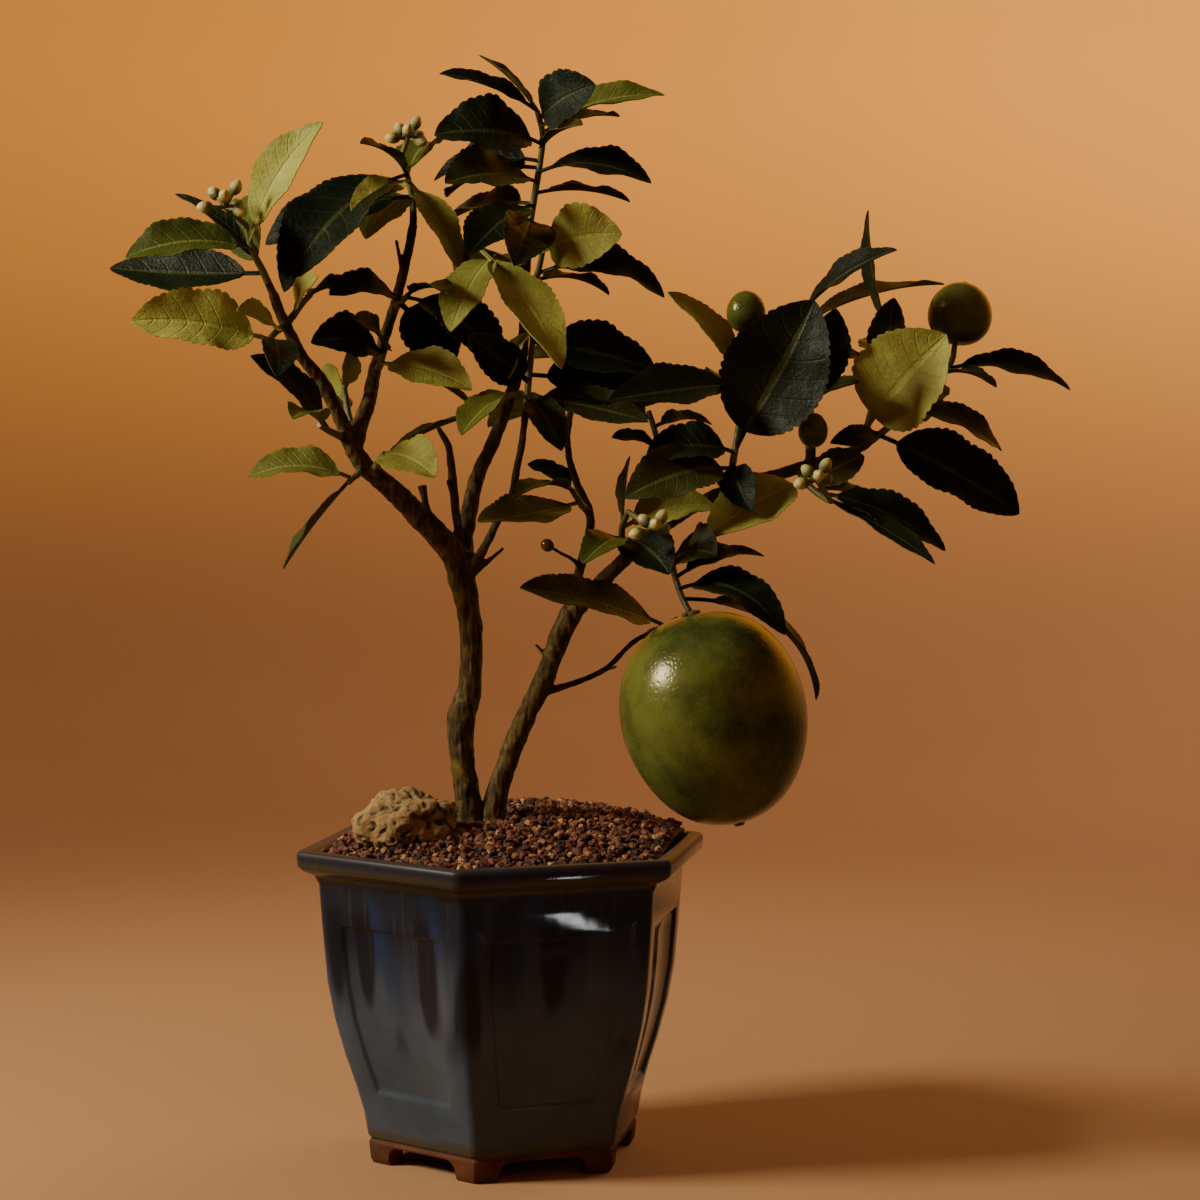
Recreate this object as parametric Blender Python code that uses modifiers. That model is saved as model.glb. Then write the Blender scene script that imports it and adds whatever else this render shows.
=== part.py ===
"""A citrus bonsai in its six-sided glazed pot.

Two stems share one rootstock. They branch into a spreading crown of toothed,
folded leaves, with one large hanging fruit, four small ones and four clusters
of buds. The pot holds soil, a heaped topping of gravel and a rough stone.

Lengths in the tables are millimetres. Points of the plant are (x, z, y): across
and up as they look from the front in the plane of the rootstock, then the depth,
where minus is nearer to the eye. The function seen() sets a point at its depth.
"""

import math
import random

import bmesh
import bpy
from mathutils import Matrix, Vector, noise

MM = 0.001
# Gap that touching pieces keep, and what it takes off the corner radius of a six-sided piece
GAP = 0.3
SIDE_GAP = 1.4 * GAP
# Gap round a lump or a tapering root, measured along its radius
ROUND_GAP = 1.5 * GAP
MERGE = 0.0001
FLAT_ANGLE = math.radians(0.3)

# Eye of someone who looks at the plant from the front
EYE = (36.6, -1150.0, 276.0)

# Pot: corner radii of the six-sided body and its heights
POT_SIDES = 6
POT_TURN = math.radians(-160.4)
RIM_RADIUS = 82.0
RIM_TOP = 120.0
RIM_INNER_RADIUS = 75.0
FLOOR_TOP = 15.0
FLOOR_UNDER = 8.0
FOOT_RADIUS = 54.0
FOOT_WIDTH = 10.0
FOOT_OPENING = 34.0
FOOT_ARCH_HEIGHT = 7.2
FOOT_ARCH_ROUND = 4.5
CORNER_ROUND = 2.2
BEVEL_FROM = 9.0
PANEL_BOTTOM = 20.0
PANEL_TOP = 101.0
PANEL_BORDER = 8.0
PANEL_STEP = 1.3
DRAIN_RADIUS = 7.0
# Corner radius and height up the inside wall, and down the outside under the lip
POT_INSIDE = (
    (46, FLOOR_TOP), (50, FLOOR_TOP + 4), (57.5, 40), (62, 58), (64, 75), (65.5, 100),
    (67.5, 109.5), (RIM_INNER_RADIUS, RIM_TOP - 1),
)
POT_OUTSIDE = (
    (75.6, 110.5), (73.4, 107), (73, PANEL_TOP), (71.8, 86), (70.3, 70), (67.6, 56),
    (63.6, 42), (59.4, 30), (56.4, PANEL_BOTTOM), (55.2, 13), (54.6, 10.4), (53.4, 9.4),
)

# Screen over the drain hole
SCREEN_SIZE = 21.0
SCREEN_THICK = 1.2
SCREEN_BARS = 3
SCREEN_BAR = 1.2

# Soil and gravel
SOIL_TOP = 110.0
GRAVEL_EDGE = 118.5
GRAVEL_PEAK = 130.0
GRAVEL_PEAK_AT = (8.0, 22.0)
GRAVEL_CUTS = 9
GRAIN_RELIEF = 1.9
GRAIN_SINK = 0.5
GRAIN_SHIFT = 0.22
GRAVEL_REACH = 78.0
GRAVEL_SEED = 11

# Rootstock that both stems grow from, an oval that stands in plain holes
ROOT_AT = (-8.5, 0.0)
ROOT_RADII = (11.0, 7.5)
ROOT_BOTTOM = 84.0
ROOT_TOP = 128.0
ROOT_SIDES = 14
ROOT_TAPER = 0.18
ROOT_HOLE_TOP = 142.0

# Stone on the gravel
STONE_AT = (-37.0, -18.0, 129.0)
STONE_RADII = (19.0, 13.5, 12.5)
STONE_SEED = 4
# Coarse and fine lumps of the stone: how close together, and how high as a share of its radius
STONE_LUMPS = (1.6, 0.26)
STONE_PITS = (4.5, 0.13)

# Large fruit: crown where the stalk meets it, and blossom end
FRUIT_CROWN = (71.0, 207.0, -35.0)
FRUIT_TIP = (90.0, 126.0, -35.0)
FRUIT_RADIUS = 34.5
FRUIT_STEPS = 18
FRUIT_ROWS = 10
SMALL_FRUIT_STEPS = 10
SMALL_FRUIT_ROWS = 6

# Small fruits: the shoot or twig that ends in each, its length and its radius
SMALL_FRUITS = {
    "small_fruit_right": ("shoot_far_right", 24.5, 12.3),
    "small_fruit_centre": ("shoot_right_middle", 16.0, 7.4),
    "small_fruit_low": ("low fruit stalk", 14.0, 5.6),
    "fruitlet": ("fruitlet stalk", 5.3, 2.5),
}
FRUIT_STALK_FACE = 1.1

# Woody limbs: (x, z, y, radius)
WOOD = {
    "left stem": [
        (-12, 112, 0, 5.4), (-12.8, 126, 0, 5.2), (-14.2, 138, 0, 4.9), (-15.7, 150, 0, 4.7),
        (-16.6, 160, 0, 5.0), (-15.9, 169, 0, 5.3), (-13.2, 178, 0, 4.7), (-12.4, 189, 0, 4.3),
        (-12.6, 201, 0, 4.4), (-14.3, 213, 0, 4.7), (-16.2, 222, 0, 5.5), (-15, 231, 0, 4.6),
    ],
    "old scar": [(-16, 157, -0.5, 3.6), (-18.3, 167, -0.5, 3.8), (-16.5, 176, -0.5, 2.4)],
    "right stem": [
        (-6, 112, 0, 5.2), (-4.5, 127, 0, 4.9), (-2.5, 139, -1, 4.3), (1, 150, -2, 4.0),
        (4.8, 160, -3, 4.0), (9.3, 170, -4, 3.9), (14.4, 180, -5, 4.0), (18.3, 190, -6, 3.8),
        (22, 200, -7, 4.2), (26, 208, -8, 4.2),
    ],
    "left limb": [
        (-16, 223, 0, 5.2), (-20, 231, -2, 5.1), (-27, 239, -5, 4.8), (-34, 246, -7, 4.5),
        (-41.4, 253.5, -9, 4.1), (-49, 260, -11, 3.7), (-55, 266, -13, 3.6), (-58, 273, -14, 3.3),
    ],
    "left fork": [
        (-57, 268, -14, 3.0), (-61, 279, -16, 2.9), (-65, 288, -18, 2.7), (-70, 297, -20, 2.5),
        (-76, 304, -22, 2.4), (-80, 312, -24, 2.2), (-84, 320, -25, 2.1), (-87, 328, -26, 2.0),
    ],
    "back fork": [
        (-57, 269, -14, 3.2), (-54, 280, -10, 3.1), (-51, 288, -5, 2.9), (-49, 298, 2, 2.6),
        (-46, 309, 10, 2.2), (-42, 321, 16, 2.1), (-39, 332, 20, 2.0), (-36, 344, 22, 1.9),
        (-34, 354, 23, 1.8),
    ],
    "back fork thorn": [(-38, 336, 20.5, 1.1), (-40.5, 349, 19, 0.7)],
    "centre limb": [
        (-14.5, 224, 1, 4.2), (-15, 236, 4, 3.6), (-13, 246, 7, 3.2), (-11, 256, 10, 3.0),
        (-8, 264, 12, 2.8), (-4, 272, 13, 2.7), (0, 283, 14, 2.6), (4, 294, 14, 2.4),
        (7, 305, 13, 2.3), (8, 318, 12, 2.2), (8, 332, 10, 2.1), (9, 344, 9, 2.0),
    ],
    "dead twig": [
        (-16, 232, 2, 2.0), (-18, 244, -2, 1.8), (-19, 254, -5, 1.7), (-20, 264, -7, 1.6),
        (-21, 271, -8, 1.5), (-25, 278, -9, 1.0),
    ],
    "dead twig stub": [(-19, 252, -4.5, 1.2), (-21.5, 258, -8, 0.8)],
    "knob stub": [(-27, 241, -5, 1.6), (-30, 250, -10, 1.3), (-31, 256, -11, 1.9)],
    "front limb": [
        (-13, 223, -1, 2.4), (-7, 233, -9, 1.8), (-2, 243, -13, 1.6), (3, 252, -15, 1.5),
        (5, 262, -16, 1.5), (7, 272, -16, 1.4), (8, 280, -15, 1.4),
    ],
    "short twig": [(-12, 222, -2, 1.4), (-5, 228, -6, 1.0), (0, 232, -9, 0.7)],
    "right limb": [
        (24, 204, -8, 3.7), (33, 215, -10, 3.1), (42, 224, -12, 2.8), (52, 233, -14, 2.7),
        (63, 242, -15, 2.6), (76, 250, -14, 2.5), (90, 256, -12, 2.4), (104, 260, -9, 2.3),
        (117, 264, -6, 2.2), (128, 267, -3, 2.0), (137, 271, 0, 1.9),
    ],
    "up limb": [
        (24, 204, -7, 2.9), (27, 217, -3, 2.1), (30, 228, 3, 1.9), (33, 240, 9, 1.8),
        (32, 248, 13, 1.7), (28, 256, 16, 1.6), (25, 266, 19, 1.5), (24, 275, 21, 1.4),
    ],
    "bare side twig": [
        (15, 177, -5, 1.7), (25, 180, -3, 1.3), (33, 183, -1, 1.2), (40, 187, 0, 1.1),
        (49, 196, 2, 1.05), (56, 200, 4, 1.05),
    ],
    "side twig nub": [(38, 185.5, 0, 0.9), (43, 187, -4, 0.6)],
    "stem thorn": [(17, 190, -6, 1.1), (12, 195.5, -8, 0.6)],
    "fruitlet stalk": [(29, 225, 2, 1.2), (26, 228, -3, 0.9), (22, 230, -6, 0.8), (18.6, 232, -8, 0.8)],
    "low fruit stalk": [(117, 263.5, -6, 1.4), (117.5, 267, -10, 1.2), (117.5, 271, -12.5, 1.2)],
}

# Green shoots: the woody limb's point, then the shoot's own points, (x, z, y)
SHOOTS = {
    "shoot_left_tip": ((-87, 328, -26), (-91, 337, -28), (-95, 345, -30), (-97, 353, -31)),
    "shoot_left_front": ((-82, 317, -24), (-85, 315, -29), (-88, 312, -34), (-90, 309, -37)),
    "shoot_left_inner": ((-82, 317, -24), (-79, 321, -19), (-76, 325, -15), (-73, 328, -12)),
    "shoot_left_fork": ((-59, 273, -15), (-63, 275, -20), (-67, 277, -24), (-70, 279, -28)),
    "shoot_fork_upright": ((-57, 275, -12), (-59, 283, -9), (-60, 290, -8), (-61, 296, -7)),
    "shoot_limb_under": ((-53, 264, -12), (-55, 261, -16), (-57, 259, -19), (-59, 257, -22)),
    "shoot_limb_front": ((-49, 260, -11), (-48, 264, -16), (-47, 266, -20), (-45, 268, -23)),
    "shoot_back_low": ((-49, 298, 2), (-47, 301, -3), (-46, 304, -7), (-45, 307, -11)),
    "shoot_back_middle": ((-42, 321, 16), (-40, 324, 11), (-38, 326, 7), (-36, 328, 3)),
    "shoot_back_top": ((-34, 354, 23), (-34, 363, 24), (-36, 372, 23), (-38, 378, 22)),
    "shoot_crown": (
        (9, 344, 9), (10, 354, 8), (12, 366, 6), (14, 378, 4), (15, 388, 2), (13, 397, 0),
    ),
    "shoot_centre_left": ((8, 336, 10), (3, 340, 5), (-3, 343, 1), (-10, 345, -2)),
    "shoot_centre_right": ((8, 328, 11), (11, 332, 6), (13, 336, 2), (15, 345, -3)),
    "shoot_front_limb": ((8, 280, -15), (9, 290, -15), (10, 300, -14), (11, 310, -12), (11, 317, -10)),
    "shoot_up_side": ((32, 246, 12), (30, 248, 7), (28, 251, 3), (26, 254, 0)),
    "shoot_up_tip": ((24, 275, 21), (25, 282, 23), (27, 288, 26), (29, 293, 30)),
    "shoot_right_near": ((46, 228, -13), (45, 234, -18), (45, 240, -23), (47, 245, -29)),
    "shoot_right_back": ((64, 243, -15), (62, 255, -7), (60, 267, -1), (57, 278, 3), (55, 284, 5)),
    "shoot_fruit": (
        (61, 240, -15), (63, 232, -20), (65, 222, -27), (68, 213, -32), (70.6, 208.2, -35),
    ),
    "shoot_side_twig": ((56, 200, 4), (59, 201, 0), (63, 203, -5), (66, 205, -9)),
    "shoot_right_middle": (
        (86, 254, -13), (87, 264, -15), (89, 276, -15), (91, 288, -13), (92, 300, -11), (92, 313.6, -10),
    ),
    "shoot_right_upper": (
        (116, 264, -6), (116, 272, -4), (114, 284, -1), (113, 298, 1), (112, 312, 3), (112, 322, 4),
    ),
    "shoot_right_end": ((136, 270, 0), (139, 282, 4), (142, 294, 8), (145, 306, 10), (146, 316, 10)),
    "shoot_far_right": (
        (136, 270, 0), (146, 278, 5), (157, 289, 9), (166, 298, 11), (170, 303, 12), (171, 309, 12),
    ),
    "shoot_right_under": (
        (112, 262, -7), (114, 258, -12), (118, 254, -17), (122, 251, -22), (124, 250, -28),
    ),
}

# Leaves: root (x, z), tip (x, z, y), width, arch of the midrib, where the upper side looks
LEAVES = {
    "shoot_left_tip": [
        (-96, 349, -68, 393, -46, 20, 4, (-5, -8, 3)),
        (-95, 346, -143, 342, -44, 22, 5, (0, -6, 7)),
        (-92, 336, -149, 338, -14, 22, -1, (0, -7, 6)),
        (-95, 346, -124, 366, -14, 9, 2, (4, -5, 6)),
        (-93, 341, -111, 353, -12, 10, 2, (5, -4, 6)),
        (-92, 339, -100, 363, 16, 18, 4, (-4, 5, 6)),
    ],
    "shoot_left_front": [
        (-88, 310, -141, 318, -52, 28, 3, (1, -8, 6)),
        (-86, 314, -101, 322, -62, 13, 3, (3, -7, 5)),
        (-89, 310, -86, 297, -72, 15, 4, (3, -4, 7)),
    ],
    "shoot_left_inner": [
        (-75, 326, -56, 330, 8, 16, 3, (0, 5, 8)),
        (-78, 322, -70, 335, -34, 11, 2, (-6, -6, 3)),
    ],
    "shoot_left_fork": [
        (-67, 277, -96, 305, -38, 16, 3, (5, -6, 6)),
        (-69, 279, -80, 281, -64, 14, 4, (1, -4, 8)),
    ],
    "shoot_fork_upright": [
        (-60, 289, -68, 301, 4, 10, 2, (-6, -5, 3)),
        (-61, 294, -59, 307, -14, 9, 2, (5, -7, 2)),
        (-59, 284, -74, 289, 22, 15, 3, (0, 4, 8)),
    ],
    "shoot_limb_under": [
        (-58, 258, -97, 259, -26, 20, 5, (0, -5, 8)),
        (-58, 258, -84, 224, -26, 15, 1, (-7, -1, 6)),
    ],
    "shoot_limb_front": [
        (-46, 267, -26, 259, -50, 20, 4, (1, -8, 5)),
        (-47, 265, -13, 282, -22, 13, 2, (-5, -1, 9)),
    ],
    "shoot_back_low": [
        (-46, 301, -12, 292, -28, 20, 3, (0, -7, 7)),
        (-47, 301, -11, 285, -4, 15, 3, (0, -1, 9)),
        (-45, 306, -73, 310, -26, 21, 4, (2, -7, 6)),
        (-45, 307, -57, 319, -44, 15, 3, (3, -7, 5)),
    ],
    "shoot_back_middle": [
        (-37, 327, 0, 296, -6, 23, 9, (2, -6, 7)),
        (-36, 328, -20, 328, -36, 13, 3, (0, -2, 9)),
        (-39, 325, -19, 302, 9, 22, 4, (-3, -7, 5)),
        (-38, 326, -66, 328, -14, 19, 4, (0, -6, 7)),
    ],
    "shoot_back_top": [
        (-36, 374, -54, 385, -4, 13, 3, (2, -4, 9)),
        (-36, 371, -17, 338, 2, 15, 3, (5, -7, 4)),
        (-34, 366, -14, 335, 8, 12, 3, (6, -4, 5)),
        (-36, 372, -57, 358, -6, 15, 3, (0, -6, 7)),
        (-35, 366, -90, 347, 22, 24, 6, (0, -7, 6)),
        (-37, 375, -83, 329, -16, 33, 9, (-4, -8, 4)),
        (-37, 375, -24, 385, 56, 20, 4, (0, 3, 8)),
        (-35, 367, -52, 349, 66, 21, 5, (-1, 5, 7)),
    ],
    "shoot_crown": [
        (13, 397, -24, 411, -8, 15, 3, (3, -4, 8)),
        (13, 397, -9, 418, 8, 10, 2, (6, -2, 5)),
        (13, 395, 35, 407, -20, 22, 3, (3, -8, 3)),
        (14, 393, 61, 403, 6, 18, 4, (-1, -5, 8)),
        (15, 390, 44, 395, 30, 14, 3, (0, -3, 9)),
        (15, 386, 30, 392, -30, 12, 2, (-4, -2, 8)),
        (15, 387, -26, 388, -14, 29, 5, (0, -7, 6)),
        (14, 377, 56, 370, -14, 20, 6, (0, -5, 8)),
        (13, 369, 48, 363, 22, 15, 3, (0, -1, 9)),
        (13, 374, -22, 370, -26, 26, 4, (1, -6, 7)),
        (14, 382, -26, 371, 20, 22, 5, (1, -6, 7)),
        (12, 366, -23, 354, 40, 22, 4, (0, -5, 7)),
        (12, 366, -13, 343, -26, 22, 3, (-3, -8, 3)),
        (10.5, 357, 4, 339, -44, 21, 4, (3, -6, 5)),
        (14, 380, -21, 365, 32, 26, 5, (0, -6, 7)),
    ],
    "shoot_centre_left": [
        (-9, 345, 22, 300, -38, 22, 4, (5, -8, 3)),
        (-4, 344, -20, 314, -24, 20, 4, (-4, -8, 3)),
        (2, 341, -18, 336, 52, 20, 4, (0, 4, 8)),
    ],
    "shoot_centre_right": [
        (15, 345, 45, 351, -16, 25, 4, (0, -9, 2)),
        (13, 336, 61, 327, -4, 22, 9, (0, -5, 8)),
        (12, 333, 40, 328, 30, 15, 4, (0, -2, 9)),
    ],
    "shoot_front_limb": [
        (11, 316, 2, 296, -24, 11, 2, (-6, -6, 1)),
        (11, 311, 58, 299, -10, 26, 1, (3, -7, 6)),
        (10, 299, 60, 289, 2, 28, 2, (0, -7, 6)),
        (9, 291, 55, 280, -24, 19, 1, (0, -6, 7)),
        (9, 288, -16, 275, -48, 20, 5, (-3, -4, 8)),
        (9.5, 297, -13, 313, -33, 16, 3, (-4, -8, 3)),
        (9, 287, 22, 269, -36, 15, 3, (3, -8, 2)),
    ],
    "shoot_up_side": [
        (27, 253, 9, 264, 2, 13, 2, (4, -5, 7)),
        (26, 254, 4, 251, -36, 13, 4, (0, -1, 9)),
        (29, 248, -10, 242, -48, 20, -1, (0, -6, 7)),
    ],
    "shoot_up_tip": [
        (28, 291, 62, 290, 56, 22, 5, (0, 4, 8)),
        (29, 293, 12, 304, 62, 22, 5, (0, 4, 8)),
        (26, 285, -6, 278, 52, 20, 5, (-1, 4, 8)),
    ],
    "shoot_right_near": [
        (45, 242, 48, 267, -18, 11, 1, (-9, -2, 2)),
        (45, 240, 80, 248, -20, 20, 4, (0, -6, 7)),
        (45, 236, 30, 226, -50, 15, 4, (0, -5, 7)),
        (45, 237, 63, 222, -48, 20, 3, (1, -8, 4)),
    ],
    "shoot_right_back": [
        (59, 270, 41, 274, -10, 11, 2, (0, -5, 8)),
        (56, 282, 37, 281, 22, 14, 3, (0, -5, 8)),
        (57, 279, 79, 279, 12, 13, 3, (0, -3, 9)),
        (61, 262, 76, 268, 44, 20, 4, (0, 4, 8)),
    ],
    "shoot_fruit": [
        (64, 227, 81, 229, -46, 22, 3, (2, -8, 4)),
        (66, 220, 99, 229, -18, 15, 4, (0, -3, 9)),
        (67, 215, 107, 199, -50, 20, 10, (0, -5, 8)),
        (69, 211, 119, 174, 14, 16, 14, (5, -3, 8)),
    ],
    "shoot_side_twig": [
        (61, 203, 6, 217, -52, 22, 3, (0, -7, 7)),
    ],
    "shoot_right_middle": [
        (88, 268, 54, 266, -22, 22, 5, (0, -6, 7)),
        (87, 262, 46, 251, -40, 24, 5, (-1, -8, 5)),
        (92, 295, 40, 288, -38, 23, 1, (0, -6, 7)),
        (92, 298, 62, 329, -28, 15, 3, (5, -6, 5)),
        (88, 271, 118, 326, -26, 40, 4, (-1, -9, 1)),
        (91, 292, 84, 290, 44, 24, 5, (0, 4, 8)),
        (87, 262, 94, 246, -36, 14, 3, (-1, -9, 2)),
    ],
    "shoot_right_upper": [
        (112, 321, 149, 345, -20, 18, 3, (-3, -4, 7)),
        (114, 288, 126, 323, -12, 20, 3, (3, -8, 2)),
        (114, 286, 135, 295, -22, 12, 2, (-3, -4, 8)),
        (113, 301, 139, 304, 24, 14, 3, (0, -4, 8)),
        (112, 318, 167, 332, 58, 16, 4, (-2, -3, 9)),
        (112, 310, 96, 308, 52, 24, 5, (0, 4, 8)),
    ],
    "shoot_right_end": [
        (146, 315, 138, 360, 12, 13, 2, (-9, -2, -1)),
        (143, 300, 148, 327, -2, 15, 2, (-2, -8, 0)),
        (139, 278, 168, 313, -20, 38, 4, (-3, -9, 2)),
        (144, 303, 150, 306, 54, 24, 5, (0, 4, 8)),
    ],
    "shoot_far_right": [
        (167, 300, 215, 292, 6, 18, 6, (0, -4, 8)),
        (166, 299, 187, 293, -12, 11, 3, (3, -4, 8)),
        (138, 271, 196, 245, 0, 30, 3, (3, -8, 5)),
        (154, 286, 189, 269, 26, 19, 4, (3, -5, 7)),
        (158, 291, 160, 280, 56, 22, 5, (0, 4, 8)),
        (142, 276, 124, 272, -24, 10, 2, (1, -8, 4)),
    ],
    "shoot_right_under": [
        (120, 252.5, 168, 231, -24, 20, 5, (3, -6, 7)),
        (119, 253, 140, 252, -2, 10, 2, (2, -3, 8)),
        (115, 257, 77, 236, -32, 24, 4, (-1, -7, 6)),
        (122, 251, 164, 226, -50, 13, 1, (3, -5, 7)),
        (113, 260, 137, 267, -14, 14, 3, (2, -8, 3)),
    ],
}

# Flower buds: the shoot that ends in each cluster, the cluster's middle, radius, number of buds
BUDS = {
    "buds_left": ("shoot_left_tip", (-105, 361, -45), 7.2, 6),
    "buds_back": ("shoot_back_top", (-36, 387, 26), 6.4, 6),
    "buds_centre": ("shoot_right_near", (57, 239, -45), 6.4, 5),
    "buds_right": ("shoot_right_under", (119, 258, -33), 5.8, 5),
}
BUD_STEM = 1.5
CALYX_RADIUS = 4.2
CALYX_TOP_RADIUS = 1.6
CALYX_HEIGHT = 2.0
CALYX_POINTS = 5
BUD_RADIUS = 2.3
BUD_LENGTHEN = 1.35
BUD_TURN = 2.4
BUD_STALK_RADIUS = 0.8
BUD_SEED = 23

SHOOT_RADIUS = 1.45
SHOOT_TIP_RADIUS = 1.1
STUB_LENGTH = 6.0
ROOT_BACK = 0.5
ROOT_BACK_EACH = 0.33
ROOT_CLEAR = 1.0
LEAF_THICK = 0.75
LEAF_FOLD = 0.34
LEAF_WAVE = 0.05
# Rows of points along a blade, by its least width
LEAF_ROWS = ((22.5, 6), (14.5, 5), (0.0, 4))
STALK_SHARE = 0.13
STALK_HALF_WIDTH = 0.8
TOOTH_NOTCH = 0.88

COLOURS = {
    "glazed clay": ((0.05, 0.07, 0.12), 0.15),
    "plastic screen": ((0.03, 0.03, 0.03), 0.6),
    "soil": ((0.07, 0.045, 0.03), 0.95),
    "gravel": ((0.35, 0.17, 0.10), 0.85),
    "stone": ((0.30, 0.28, 0.20), 0.9),
    "bark": ((0.20, 0.16, 0.08), 0.8),
    "leaf": ((0.07, 0.16, 0.03), 0.4),
    "bud": ((0.55, 0.60, 0.35), 0.6),
    "fruit skin": ((0.08, 0.17, 0.02), 0.3),
}


def seen(x, z, y):
    """A point that looks to be at x, z from the front, set at depth y, in metres."""
    share = (y - EYE[1]) / -EYE[1]
    across = EYE[0] + (x - EYE[0]) * share
    up = EYE[2] + (z - EYE[2]) * share
    return Vector((across, y, up)) * MM


def material(name):
    colour, roughness = COLOURS[name]
    found = bpy.data.materials.get(name)
    if found:
        return found
    made = bpy.data.materials.new(name)
    made.use_nodes = True
    shader = made.node_tree.nodes["Principled BSDF"]
    shader.inputs["Base Color"].default_value = (*colour, 1.0)
    shader.inputs["Roughness"].default_value = roughness
    return made


def clear_scene():
    for item in list(bpy.data.objects):
        bpy.data.objects.remove(item, do_unlink=True)


def collection(name):
    made = bpy.data.collections.new(name)
    bpy.context.scene.collection.children.link(made)
    return made


def object_from(bm, name, group):
    """Close a bmesh into a new object."""
    mesh = bpy.data.meshes.new(name)
    bmesh.ops.recalc_face_normals(bm, faces=bm.faces)
    bm.to_mesh(mesh)
    bm.free()
    made = bpy.data.objects.new(name, mesh)
    group.objects.link(made)
    return made


def bake(item):
    """Turn an object's modifiers into its mesh."""
    graph = bpy.context.evaluated_depsgraph_get()
    mesh = bpy.data.meshes.new_from_object(item.evaluated_get(graph))
    item.modifiers.clear()
    item.data = mesh
    return item


def boolean(item, operation, group, solver="EXACT"):
    """One Boolean with a whole collection, applied; its objects are removed."""
    step = item.modifiers.new(operation.lower(), "BOOLEAN")
    step.operation = operation
    step.operand_type = "COLLECTION"
    step.collection = group
    step.solver = solver
    bake(item)
    for tool in list(group.objects):
        bpy.data.objects.remove(tool, do_unlink=True)
    bpy.data.collections.remove(group)
    return item


def cutter_look(item):
    item.hide_render = True
    item.display_type = "WIRE"
    return item


def finish(item, colour, smooth_angle=math.radians(40), simplify=True):
    """Split a finished sub-part into few triangles, then colour and shade it."""
    bm = bmesh.new()
    bm.from_mesh(item.data)
    if simplify:
        bmesh.ops.dissolve_limit(bm, angle_limit=FLAT_ANGLE, verts=bm.verts, edges=bm.edges)
    bmesh.ops.triangulate(bm, faces=bm.faces)
    bm.to_mesh(item.data)
    bm.free()
    item.data.materials.clear()
    item.data.materials.append(material(colour))
    item.data.shade_smooth()
    item.data.set_sharp_from_angle(angle=smooth_angle)
    return item


def turned(name, profile, steps, group, turn=0.0):
    """A profile of (radius, height) in mm turned about Z; it runs down the outside."""
    bm = bmesh.new()
    points = [bm.verts.new((r * MM, 0.0, z * MM)) for r, z in profile]
    for first, second in zip(points, points[1:]):
        bm.edges.new((first, second))
    mesh = bpy.data.meshes.new(name)
    bm.to_mesh(mesh)
    bm.free()
    made = bpy.data.objects.new(name, mesh)
    group.objects.link(made)
    screw = made.modifiers.new("turn", "SCREW")
    screw.steps = steps
    screw.render_steps = steps
    screw.use_merge_vertices = True
    screw.merge_threshold = MERGE
    bake(made)
    made.data.transform(Matrix.Rotation(turn, 4, "Z"))
    return made


def smooth_path(points, spacing):
    """Points along a Catmull-Rom curve through a list of number tuples."""
    rows = [Vector(p) for p in points]
    ends = [rows[0] * 2 - rows[1]] + rows + [rows[-1] * 2 - rows[-2]]
    out = []
    for a, b, c, d in zip(ends, ends[1:], ends[2:], ends[3:]):
        steps = max(1, round((c - b).length / spacing))
        for i in range(steps):
            t = i / steps
            out.append(0.5 * ((2 * b) + (c - a) * t + (2 * a - 5 * b + 4 * c - d) * t ** 2
                              + (3 * b - a - 3 * c + d) * t ** 3))
    out.append(rows[-1])
    return out


def tube(name, points, radii, group, resolution=2):
    """A closed round tube through points in metres, as a mesh."""
    curve = bpy.data.curves.new(name, "CURVE")
    curve.dimensions = "3D"
    curve.bevel_depth = MM
    curve.bevel_resolution = resolution
    curve.use_fill_caps = True
    spline = curve.splines.new("POLY")
    spline.points.add(len(points) - 1)
    for dot, place, radius in zip(spline.points, points, radii):
        dot.co = (*place, 1.0)
        dot.radius = radius
    source = bpy.data.objects.new(name, curve)
    group.objects.link(source)
    graph = bpy.context.evaluated_depsgraph_get()
    mesh = bpy.data.meshes.new_from_object(source.evaluated_get(graph))
    place = source.matrix_world.copy()
    bpy.data.objects.remove(source, do_unlink=True)
    made = bpy.data.objects.new(name, mesh)
    made.matrix_world = place
    group.objects.link(made)
    bm = bmesh.new()
    bm.from_mesh(mesh)
    bmesh.ops.remove_doubles(bm, verts=bm.verts, dist=MM * 0.01)
    bmesh.ops.recalc_face_normals(bm, faces=bm.faces)
    bm.to_mesh(mesh)
    bm.free()
    return made


def pot_profile():
    """Corner radius and height, from the floor's middle over the rim to the underside."""
    lip = [
        (RIM_INNER_RADIUS + 0.8, RIM_TOP - 0.3), (RIM_INNER_RADIUS + 2, RIM_TOP),
        (RIM_RADIUS - 1.5, RIM_TOP), (RIM_RADIUS - 0.3, RIM_TOP - 0.7),
        (RIM_RADIUS, RIM_TOP - 2), (RIM_RADIUS - 0.3, RIM_TOP - 6), (RIM_RADIUS - 2, RIM_TOP - 7.5),
    ]
    foot = [
        (FOOT_RADIUS, FLOOR_UNDER), (FOOT_RADIUS - 0.6, 2.0), (FOOT_RADIUS - 1.6, 0.0),
        (FOOT_RADIUS - FOOT_WIDTH, 0.0), (FOOT_RADIUS - FOOT_WIDTH + 1, FLOOR_UNDER),
        (0, FLOOR_UNDER),
    ]
    return [(0, FLOOR_TOP), *POT_INSIDE, *lip, *POT_OUTSIDE, *foot]


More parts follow.
